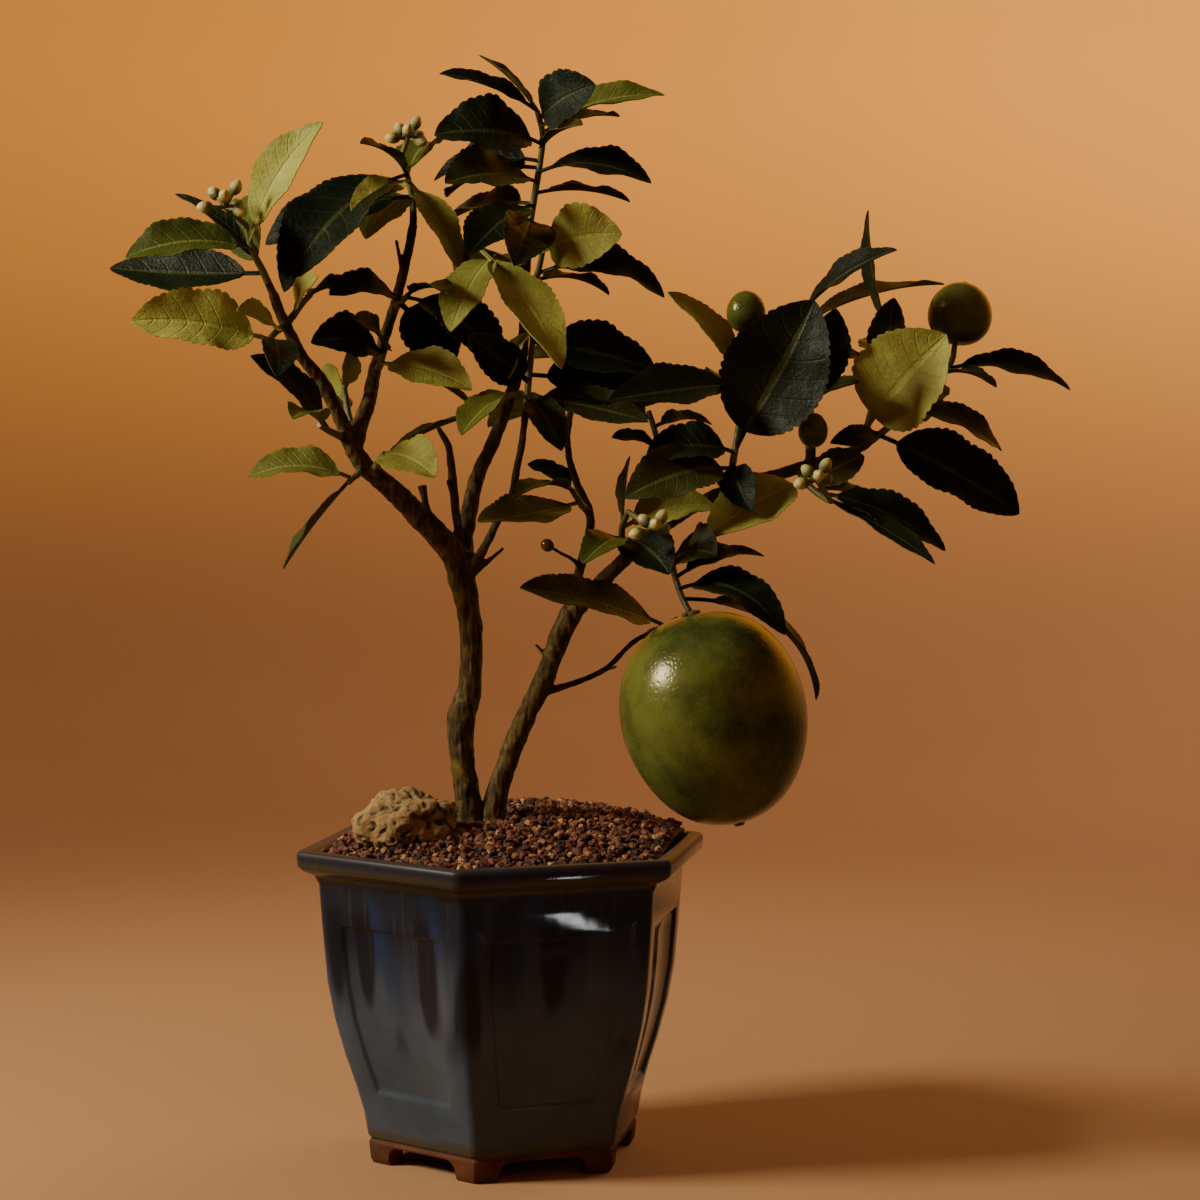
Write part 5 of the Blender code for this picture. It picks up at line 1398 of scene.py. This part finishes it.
def make_stone(look):
    """The stone, with the fine pits and ridges that its solid leaves out."""
    stone = twin(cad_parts["stone"], "pitted_stone")
    stone.parent = None
    clean(stone)
    shape(stone, "SUBSURF", levels=3, render_levels=3)
    places = points_of(stone)
    middle = Vector(places.mean(0))
    ways = places - np.array(middle)
    pits = []
    for spot, way in zip(places, ways):
        at = (Vector(spot) - middle) / MM
        ridge = noise.fractal(at * RIDGE_GRAIN, 0.9, 2.1, 4, noise_basis="PERLIN_ORIGINAL")
        hole = noise.cell(at * 0.5) * 0.15 + max(0.0, noise.noise(at * HOLE_GRAIN))
        deep = hole * look.pits / MM * 1.7
        move = RIDGE_HEIGHT * ridge - deep
        spot += way / np.linalg.norm(way) * move * MM
        # How deep in a pit each point lies, for the painted shade in the pits
        pits.append(min(1.0, max(0.0, hole * 1.6 - ridge * 0.5 + 0.2)))
    set_points(stone, places)
    set_value(stone, "pit_shade", pits)
    paint_with(smooth(stone, 50), rock_material(look))
    hand_over(stone, "stone")


def wood_path(points, spacing):
    """Points and radii along a woody limb."""
    return smooth_path([(*seen(x, z, y), r * MM) for x, z, y, r in points], spacing)


def shoot_stub(points):
    """Where the woody stub under a shoot starts and ends, and its direction."""
    start = seen(*points[0])
    way = (seen(*points[1]) - start).normalized()
    return start, start + way * STUB_LENGTH * MM, way


def shoot_path(points, spacing):
    """A shoot's axis: it leaves its stub in line with it."""
    start, end, way = shoot_stub(points)
    first = end + way * GAP * MM
    beyond = [seen(*p) for p in points[1:]]
    beyond = [p for p in beyond if (p - start).dot(way) > (STUB_LENGTH + 2.5) * MM]
    return smooth_path([first, first + way * MM] + beyond, spacing)


def fuse_wood(detail):
    """Rootstock, stems, twigs and stubs fused into one skin, with points and radii inside it."""
    middle = sum(ROOT_HEIGHTS) / 2
    tall = ROOT_HEIGHTS[1] - ROOT_HEIGHTS[0]
    nothing()
    bpy.ops.mesh.primitive_cone_add(
        vertices=40, radius1=1 - ROOT_TAPER, radius2=1, depth=1,
        location=AXIS + Vector((*ROOT_AT, middle)) * MM,
        scale=(ROOT_RADII[0] * MM, ROOT_RADII[1] * MM, tall * MM))
    root = named("bark_and_twigs")
    settle()
    limbs, spine, girth = [root], [], []
    for name, points in WOOD.items():
        rows = wood_path(points, 3 * MM)
        limbs.append(tube(name, rows, [r[3] / MM for r in rows], 4))
        spine += [r.xyz for r in rows]
        girth += [r[3] for r in rows]
    for name, points in SHOOTS.items():
        start, end = shoot_stub(points)[:2]
        limbs.append(tube(name, [start, end], [SHOOT_RADII[0] + 0.1, SHOOT_RADII[0]], 3))
        spine += [start, end]
        girth += [SHOOT_RADII[0] * MM] * 2
    wood = join("bark_and_twigs", limbs)
    shape(wood, "REMESH", mode="VOXEL", voxel_size=detail)
    shape(wood, "SMOOTH", factor=0.5, iterations=5)
    whole(wood)
    bpy.ops.mesh.normals_make_consistent(inside=False)
    nothing()
    return wood, np.array([tuple(p) for p in spine]), np.array(girth)


def slenderness(places, spine, girth):
    """How slender the wood is at each place: nought on the thick limbs and one on the twigs."""
    slender = np.empty(len(places))
    for start in range(0, len(places), WOOD_BATCH):
        part = places[start:start + WOOD_BATCH]
        nearest = ((part[:, None, :] - spine[None]) ** 2).sum(2).argmin(1)
        slender[start:start + WOOD_BATCH] = 1 - (girth[nearest] / MM - TWIG_RADIUS) / (
            LIMB_RADIUS - TWIG_RADIUS)
    return np.clip(slender, 0, 1)


def make_wood(look):
    """The wood in one skin, with furrows along the thick limbs."""
    wood, spine, girth = fuse_wood(look.detail)
    places = points_of(wood)
    outward = np.array([v.normal for v in wood.data.vertices])
    slender = slenderness(places, spine, girth)
    for spot, way, thin in zip(places, outward, slender):
        at = Vector(spot) / MM
        furrow = noise.noise(at * Vector(FURROW_GRAIN))
        knob = noise.noise(at * KNOB_GRAIN)
        spot += way * (look.relief * (1 - THIN_FURROWS * thin) * furrow
                       + KNOB_HEIGHT * MM * (1 - THIN_KNOBS * thin) * knob)
    set_points(wood, places)
    set_value(wood, "slender", slender)
    paint_with(smooth(wood), bark_material(look))
    hand_over(wood, "trunk_and_limbs")


def nearest_on(path, target, back):
    """The point of a path nearest to a target seen from the front, set back along it in mm."""
    lengths = [0.0]
    for a, b in zip(path, path[1:]):
        lengths.append(lengths[-1] + (b - a).length)
    best = None
    for i, (a, b) in enumerate(zip(path, path[1:])):
        for step in range(9):
            p = a.lerp(b, step / 8) - AXIS
            part = (p.y / MM - EYE[1]) / -EYE[1]
            across = EYE[0] + (p.x / MM - EYE[0]) / part
            up = EYE[2] + (p.z / MM - EYE[2]) / part
            away = math.hypot(across - target[0], up - target[1])
            if best is None or away < best[0]:
                best = (away, lengths[i] + (b - a).length * step / 8)
    at = min(max(best[1] - back * MM, (ROOT_CLEAR + back) * MM), lengths[-1] - ROOT_BACK * MM)
    for i, (a, b) in enumerate(zip(path, path[1:])):
        if at <= lengths[i + 1] or i == len(path) - 2:
            return a.lerp(b, (at - lengths[i]) / (lengths[i + 1] - lengths[i]))


def leaf_master(across, along):
    """A flat leaf from minus one to one across and nought to one along, with its own map."""
    nothing()
    bpy.ops.mesh.primitive_grid_add(x_subdivisions=across, y_subdivisions=along, size=2,
                                    location=(0, 0, 0))
    master = named("leaf master")
    places = points_of(master)
    step = np.rint((places[:, 1] + 1) / 2 * along)
    blade = STALK_SHARE + (1 - STALK_SHARE) * (step - STALK_ROWS) / (along - STALK_ROWS)
    places[:, 1] = np.where(step < STALK_ROWS, STALK_SHARE * step / STALK_ROWS, blade)
    places[:, 0] = np.sign(places[:, 0]) * np.abs(places[:, 0]) ** 0.85
    set_points(master, places)
    layer = master.data.uv_layers["UVMap"]
    for corner, dot in zip(master.data.loops, layer.data):
        x, y, z = master.data.vertices[corner.vertex_index].co
        dot.uv = ((x + 1) / 2, max(0.0, (y - STALK_SHARE) / (1 - STALK_SHARE)))
    thick = master.vertex_groups.new(name="thick")
    for v in master.data.vertices:
        rib = math.exp(-(v.co.x / 0.13) ** 2)
        on_stalk = 1.0 if v.co.y < STALK_SHARE + 0.02 else 0.0
        thick.add([v.index], max(on_stalk, 0.34 + 0.66 * rib * (1 - 0.6 * v.co.y)), "REPLACE")
    return master


def lay_leaf(flat, root, tip, width, arch, face, ripple, teeth, sway):
    """Where the points of a flat leaf lie once it has its size, bend, fold, waves and teeth."""
    side, row = flat[:, 0:1], flat[:, 1:2]
    chord = tip - root
    along = chord.normalized()
    up = Vector(face)
    up = (up - along * up.dot(along)).normalized()
    across = np.array(along.cross(up))
    bend = np.array(root + chord * 0.5 + up * 2 * arch * MM)
    root, tip, up = np.array(root), np.array(tip), np.array(up)
    place = root * (1 - row) ** 2 + bend * 2 * row * (1 - row) + tip * row ** 2
    run = (bend - root) * (1 - row) + (tip - bend) * row
    run /= np.linalg.norm(run, axis=1, keepdims=True)
    raised = up - run * (run @ up)[:, None]
    raised /= np.linalg.norm(raised, axis=1, keepdims=True)
    part = np.clip((row - STALK_SHARE) / (1 - STALK_SHARE), 0, 1)
    top = LEAF_RISE / (LEAF_RISE + LEAF_FALL)
    half = width / 2 * (part / top) ** LEAF_RISE * ((1 - part) / (1 - top)) ** LEAF_FALL
    half = np.where(part < top, np.maximum(half, STALK_HALF_WIDTH), half)
    half = np.where(row < STALK_SHARE, STALK_HALF_WIDTH, half)
    count = max(5, round(chord.length / MM / TOOTH_SPACING))
    notch = (1 - np.abs(np.sin(math.pi * count * part + ripple))) ** TOOTH_SHARPNESS * teeth
    blade = np.clip(part * 12, 0, 1)
    half = half * (1 - notch * blade * np.abs(side) ** 4)
    wave = LEAF_WAVE * width * 4 * part * (1 - part) * np.sin(LEAF_WAVES * part + ripple)
    frill = FRILL * width * 4 * part * (1 - part) * side ** 2 * np.sin(
        FRILLS * part + 2.3 * ripple + np.where(side > 0, 1.7, 0.0))
    fold = np.sqrt(side ** 2 + 0.02) - math.sqrt(0.02)
    gutter = np.where(row < STALK_SHARE + 0.01, 0.5 * side ** 2, 0.0)
    lift = LEAF_FOLD * half * fold * 1.12 + wave * side + frill + gutter
    shift = sway * 4 * part * (1 - part) * blade
    return place + (across * (side * half + shift) + raised * lift) * MM


def grow_leaf(master, name, root, row, number, draw, teeth):
    """A copy of the flat leaf, laid in its place, with its tone of painted light and shade and its
    own small differences.
    """
    tip_x, tip_z, tip_y, width, arch, face, tone = row[2:]
    leaf = twin(master, name)
    set_points(leaf, lay_leaf(points_of(master), root, seen(tip_x, tip_z, tip_y), width, arch,
                              face, number * RIPPLE_EACH, teeth, draw.uniform(-1.0, 1.0)))
    # The leaf's tone, from painted shade to painted light
    set_value(leaf, "tone", PAINTED_LIGHT_TONES[tone] + draw.uniform(-0.07, 0.07))
    set_value(leaf, "own", draw.random())
    return leaf


def make_calyx():
    """The green star with five lobes that the large fruit hangs from."""
    crown, tip = seen(*FRUIT_CROWN), seen(*FRUIT_TIP)
    nothing()
    bpy.ops.mesh.primitive_cylinder_add(
        vertices=40, radius=CALYX_RADIUS * MM, depth=CALYX_THICKNESS * MM, end_fill_type="TRIFAN",
        location=(0, 0, 0))
    calyx = named("calyx")
    places = points_of(calyx)
    for spot in places:
        turn = math.atan2(spot[1], spot[0])
        away = math.hypot(spot[0], spot[1])
        spot[:2] *= 0.72 + 0.34 * math.cos(CALYX_LOBES / 2 * turn) ** 2
        spot[2] += 0.0011 - 90 * away ** 2
    set_points(calyx, places)
    stand(calyx, crown, (crown - tip).normalized())
    return clean(calyx)


def make_shoots(look):
    """Every green shoot: its stem and leaves, one piece for each."""
    upper, under, green = leaf_materials(look)
    draw = random.Random(LEAF_SEED)
    large, small = leaf_master(8, 60), leaf_master(6, 36)
    for name, points in SHOOTS.items():
        path = shoot_path(points, 9 * MM)
        sheets = []
        for number, row in enumerate(LEAVES[name]):
            root = nearest_on(path, row[:2], ROOT_BACK + ROOT_BACK_EACH * number)
            master = large if row[5] > LARGE_LEAF else small
            sheets.append(grow_leaf(master, name, root, row, number, draw, look.teeth))
        leaves = join(name.replace("shoot", "leaves"), sheets)
        whole(leaves)
        bpy.ops.mesh.remove_doubles(threshold=0.00002)
        nothing()
        paint_with(leaves, upper, under)
        shape(leaves, "SOLIDIFY", thickness=look.thickness, offset=0.0, vertex_group="thick",
              thickness_vertex_group=0.1, material_offset=1, use_quality_normals=True)
        end, way = shoot_stub(points)[1:]
        fine = [end - way * MM] + shoot_path(points, 2 * MM)
        last = len(fine) - 1
        taper = [SHOOT_RADII[0] + (SHOOT_RADII[1] - SHOOT_RADII[0]) * i / last
                 for i in range(last + 1)]
        stem = paint_with(tube("stem", fine, taper, 3), green)
        parts = [leaves, stem]
        if name == "shoot_fruit":
            parts.append(paint_with(make_calyx(), green))
        leaves = join(leaves.name, parts)
        hand_over(smooth(leaves, 60), name)
    discard(large)
    discard(small)


def stalk_end(name):
    """The last two points of the shoot or woody twig that a fruit or cluster sits on."""
    if name in SHOOTS:
        return shoot_path(SHOOTS[name], 9 * MM)[-2:]
    return [row.xyz for row in wood_path(WOOD[name], 13 * MM)[-2:]]


def make_buds(look):
    """Clusters of pointed oval buds, each on its short stalk."""
    skin = bud_material(look)
    draw = random.Random(BUD_SEED)
    nothing()
    bpy.ops.mesh.primitive_uv_sphere_add(segments=15, ring_count=10, radius=BUD_RADIUS * MM)
    master = named("bud master")
    places = points_of(master)
    for spot in places:
        rise = spot[2] / (BUD_RADIUS * MM)
        turn = math.atan2(spot[1], spot[0])
        ridge = 1 + 0.07 * math.cos(5 * turn)
        spot[:2] *= ridge * (1.0 - 0.28 * max(0.0, rise) ** 2)
        spot[2] *= BUD_LENGTHEN
    set_points(master, places)
    set_value(master, "ripe", (places[:, 2] / (BUD_RADIUS * BUD_LENGTHEN * MM) + 1) / 2)
    for name, (shoot, middle, spread, count) in BUDS.items():
        before, end = stalk_end(shoot)
        way = (end - before).normalized()
        heart = seen(*middle)
        neck = [end, end + way * BUD_STEM * MM, heart]
        stalk = tube(name, smooth_path(neck, 1.5 * MM), [1.05] * 60, 3)
        set_value(stalk, "ripe", 0.0)
        parts = [stalk]
        for number in range(count):
            turn = number * BUD_TURN
            rise = 1 - 1.35 * (number + 0.5) / count
            flat = math.sqrt(1 - rise * rise)
            way = Vector((flat * math.cos(turn), flat * math.sin(turn), rise))
            end = heart + way * spread * draw.uniform(0.85, 1.15) * MM
            twig = tube("bud stalk", [heart, end], [0.75, 0.85], 2)
            set_value(twig, "ripe", 0.1)
            bud = twin(master, "bud")
            stand(bud, end, way)
            parts += [twig, bud]
        cluster = join(name.replace("buds", "flower_buds"), parts)
        hand_over(paint_with(smooth(cluster), skin), name)
    discard(master)


def fruit_rows(tall, radius, points, stalk_face):
    """Radius and height of a fruit that hangs from 0 down, with a dimple and a nipple."""
    rows = [(0, 0), (stalk_face, 0)] if stalk_face else [(0, -1.2), (radius * 0.14, -0.9)]
    for i in range(1, points):
        angle = math.pi * i / points
        if stalk_face and radius * math.sin(angle) < stalk_face:
            continue
        part = (1 - math.cos(angle)) / 2
        wide = radius * math.sin(angle) ** 0.92 * (1 + 0.05 * math.cos(angle))
        rows.append((wide, -tall * 0.985 * part))
    return rows + [(radius * 0.05, -tall), (0, -tall)]


def spin_fruit(name, crown, tip, radius, points, steps, stalk_face=0.0):
    """A fruit spun about its axis, hung at its crown and pointed at its tip."""
    tall = (crown - tip).length / MM
    rows = fruit_rows(tall, radius, points, stalk_face)
    mesh = bpy.data.meshes.new(name)
    mesh.from_pydata([(r * MM, 0, z * MM) for r, z in rows],
                     [(i, i + 1) for i in range(len(rows) - 1)], [])
    fruit = bpy.data.objects.new(name, mesh)
    bpy.context.scene.collection.objects.link(fruit)
    whole(fruit)
    bpy.ops.mesh.spin(steps=steps, angle=2 * math.pi, center=(0, 0, 0), axis=(0, 0, 1))
    clean(fruit)
    places = points_of(fruit)
    tips = np.clip(1 + (places[:, 2] / MM + tall) / -3.0, 0, 1)
    for spot in places:
        at = Vector(spot) / (radius * MM)
        if spot[2] < -0.1 * tall * MM:
            spot[:2] *= 1 + 0.012 * noise.noise(at * 1.6)
    set_points(fruit, places)
    set_value(fruit, "blossom_end", tips)
    stand(fruit, crown, (crown - tip).normalized())
    return smooth(fruit)


def make_fruits(look):
    """The large hanging fruit and the four small ones."""
    fruit = spin_fruit("ripe_fruit", seen(*FRUIT_CROWN), seen(*FRUIT_TIP), FRUIT_RADIUS, 48, 96)
    paint_with(fruit, peel_material("Citrus peel", look, look.pores))
    hand_over(fruit, "large_fruit")
    young = peel_material("Young peel", look, look.pores * 1.7)
    for name, (stalk, tall, radius) in SMALL_FRUITS.items():
        before, end = stalk_end(stalk)
        way = (end - before).normalized()
        crown = end + way * 0.05 * MM
        fruit = spin_fruit("young_" + name, crown, crown + way * tall * MM, radius, 24, 48, 1.1)
        hand_over(paint_with(fruit, young), name)


def area_light(name, power):
    """One of the square lights, turned towards what it aims at."""
    place, aim, size, colour = LIGHTS[name]
    nothing()
    bpy.ops.object.light_add(type="AREA", location=place)
    lamp = named(name)
    lamp.data.size = size
    lamp.data.energy = power
    lamp.data.color = colour
    lamp.rotation_euler = (aim - place).to_track_quat("-Z", "Y").to_euler()
    return lamp


def make_stage(look):
    """Paper sweep, soft lights and the camera in the place of the eye."""
    nothing()
    bpy.ops.mesh.primitive_circle_add(vertices=BOWL_SIDES, radius=BOWL_RADIUS, fill_type="NGON")
    bowl = named("paper_bowl")
    choose(bowl, "EDGE", lambda line: True)
    bpy.ops.mesh.extrude_edges_move(TRANSFORM_OT_translate={"value": (0, 0, BOWL_HEIGHT)})
    choose(bowl, "EDGE", lambda line: max(end.z for end in ends(bowl, line)) < 0.01)
    bpy.ops.mesh.bevel(offset=BOWL_RADIUS / 2, segments=BOWL_ROUND_STEPS, affect="EDGES")
    paint_with(smooth(bowl), stage_material(look))
    area_light("key_light", look.key)
    soft = area_light("fill_light", look.fill)
    area_light("backdrop_light", look.glow)
    behind = area_light("back_light", look.back)
    for lamp in (soft, behind):
        lamp.visible_glossy = False
    area_light("glint_light", GLINT_POWER).data.spread = GLINT_SPREAD
    world = bpy.data.worlds.new("soft room")
    world.use_nodes = True
    sky = world.node_tree.nodes["Background"]
    sky.inputs["Color"].default_value = ROOM_COLOUR
    sky.inputs["Strength"].default_value = ROOM_STRENGTH
    bpy.context.scene.world = world
    nothing()
    bpy.ops.object.camera_add(location=AXIS + Vector(EYE) * MM,
                              rotation=(math.pi / 2 - EYE_DOWN, 0, 0))
    eye = named("eye")
    eye.data.sensor_width = SENSOR
    eye.data.lens = EYE_PIXELS / FRAME_PIXELS * SENSOR
    bpy.context.scene.camera = eye


# Operators

class BONSAI_OT_pot(bpy.types.Operator):
    """Build the glazed six-sided pot with its rounded edges and feet"""
    bl_idname = "bonsai.pot"
    bl_label = "Glazed pot"

    def execute(self, context):
        make_pot(context.scene.bonsai_pot)
        return {"FINISHED"}


class BONSAI_OT_soil(bpy.types.Operator):
    """Give the soil and the drain screen their materials"""
    bl_idname = "bonsai.soil"
    bl_label = "Soil and drain screen"

    def execute(self, context):
        paint_with(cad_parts["soil"], earth_material(
            "Potting soil", paint(44, 30, 20), paint(92, 66, 44), 220.0, 0.95))
        paint_with(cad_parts["drain_screen"], earth_material(
            "Screen plastic", paint(22, 22, 22), paint(40, 40, 38), 90.0, 0.6))
        return {"FINISHED"}


class BONSAI_OT_gravel(bpy.types.Operator):
    """Heap the gravel, grain by grain"""
    bl_idname = "bonsai.gravel"
    bl_label = "Gravel"

    def execute(self, context):
        make_gravel(context.scene.bonsai_gravel)
        return {"FINISHED"}


class BONSAI_OT_stone(bpy.types.Operator):
    """Carve the pitted stone"""
    bl_idname = "bonsai.stone"
    bl_label = "Stone"

    def execute(self, context):
        make_stone(context.scene.bonsai_stone)
        return {"FINISHED"}


class BONSAI_OT_wood(bpy.types.Operator):
    """Grow the rootstock, stems and twigs with their bark"""
    bl_idname = "bonsai.wood"
    bl_label = "Wood"

    def execute(self, context):
        make_wood(context.scene.bonsai_wood)
        return {"FINISHED"}


class BONSAI_OT_shoots(bpy.types.Operator):
    """Grow the green shoots with their leaves"""
    bl_idname = "bonsai.shoots"
    bl_label = "Leafy shoots"

    def execute(self, context):
        make_shoots(context.scene.bonsai_leaves)
        return {"FINISHED"}


class BONSAI_OT_buds(bpy.types.Operator):
    """Grow the clusters of flower buds"""
    bl_idname = "bonsai.buds"
    bl_label = "Flower buds"

    def execute(self, context):
        make_buds(context.scene.bonsai_buds)
        return {"FINISHED"}


class BONSAI_OT_fruits(bpy.types.Operator):
    """Hang the large fruit and the small ones"""
    bl_idname = "bonsai.fruits"
    bl_label = "Fruits"

    def execute(self, context):
        make_fruits(context.scene.bonsai_fruits)
        return {"FINISHED"}


class BONSAI_OT_stage(bpy.types.Operator):
    """Lay the paper sweep and set the lights and the camera"""
    bl_idname = "bonsai.stage"
    bl_label = "Stage"

    def execute(self, context):
        make_stage(context.scene.bonsai_stage)
        return {"FINISHED"}


STEPS = (BONSAI_OT_pot, BONSAI_OT_soil, BONSAI_OT_gravel, BONSAI_OT_stone, BONSAI_OT_wood,
         BONSAI_OT_shoots, BONSAI_OT_buds, BONSAI_OT_fruits, BONSAI_OT_stage)
SETTINGS = {"bonsai_pot": PotSettings, "bonsai_gravel": GravelSettings,
            "bonsai_stone": StoneSettings, "bonsai_wood": WoodSettings,
            "bonsai_leaves": LeafSettings, "bonsai_buds": BudSettings,
            "bonsai_fruits": FruitSettings, "bonsai_stage": StageSettings}


class BONSAI_PT_panel(bpy.types.Panel):
    """Steps that dress the bonsai, with their settings"""
    bl_idname = "BONSAI_PT_panel"
    bl_label = "Citrus Bonsai"
    bl_space_type = "VIEW_3D"
    bl_region_type = "UI"
    bl_category = "Bonsai"

    def draw(self, context):
        for step in STEPS:
            self.layout.operator(step.bl_idname)
        for name, kind in SETTINGS.items():
            box = self.layout.box()
            for key in kind.__annotations__:
                box.prop(getattr(context.scene, name), key)


def register():
    for kind in (*SETTINGS.values(), *STEPS, BONSAI_PT_panel):
        bpy.utils.register_class(kind)
    for name, kind in SETTINGS.items():
        setattr(bpy.types.Scene, name, PointerProperty(type=kind))


def unregister():
    for name in SETTINGS:
        delattr(bpy.types.Scene, name)
    for kind in (BONSAI_PT_panel, *reversed(STEPS), *reversed(SETTINGS.values())):
        bpy.utils.unregister_class(kind)


def main():
    register()
    for step in STEPS:
        group, action = step.bl_idname.split(".")
        getattr(getattr(bpy.ops, group), action)()


if __name__ == "__main__":
    main()
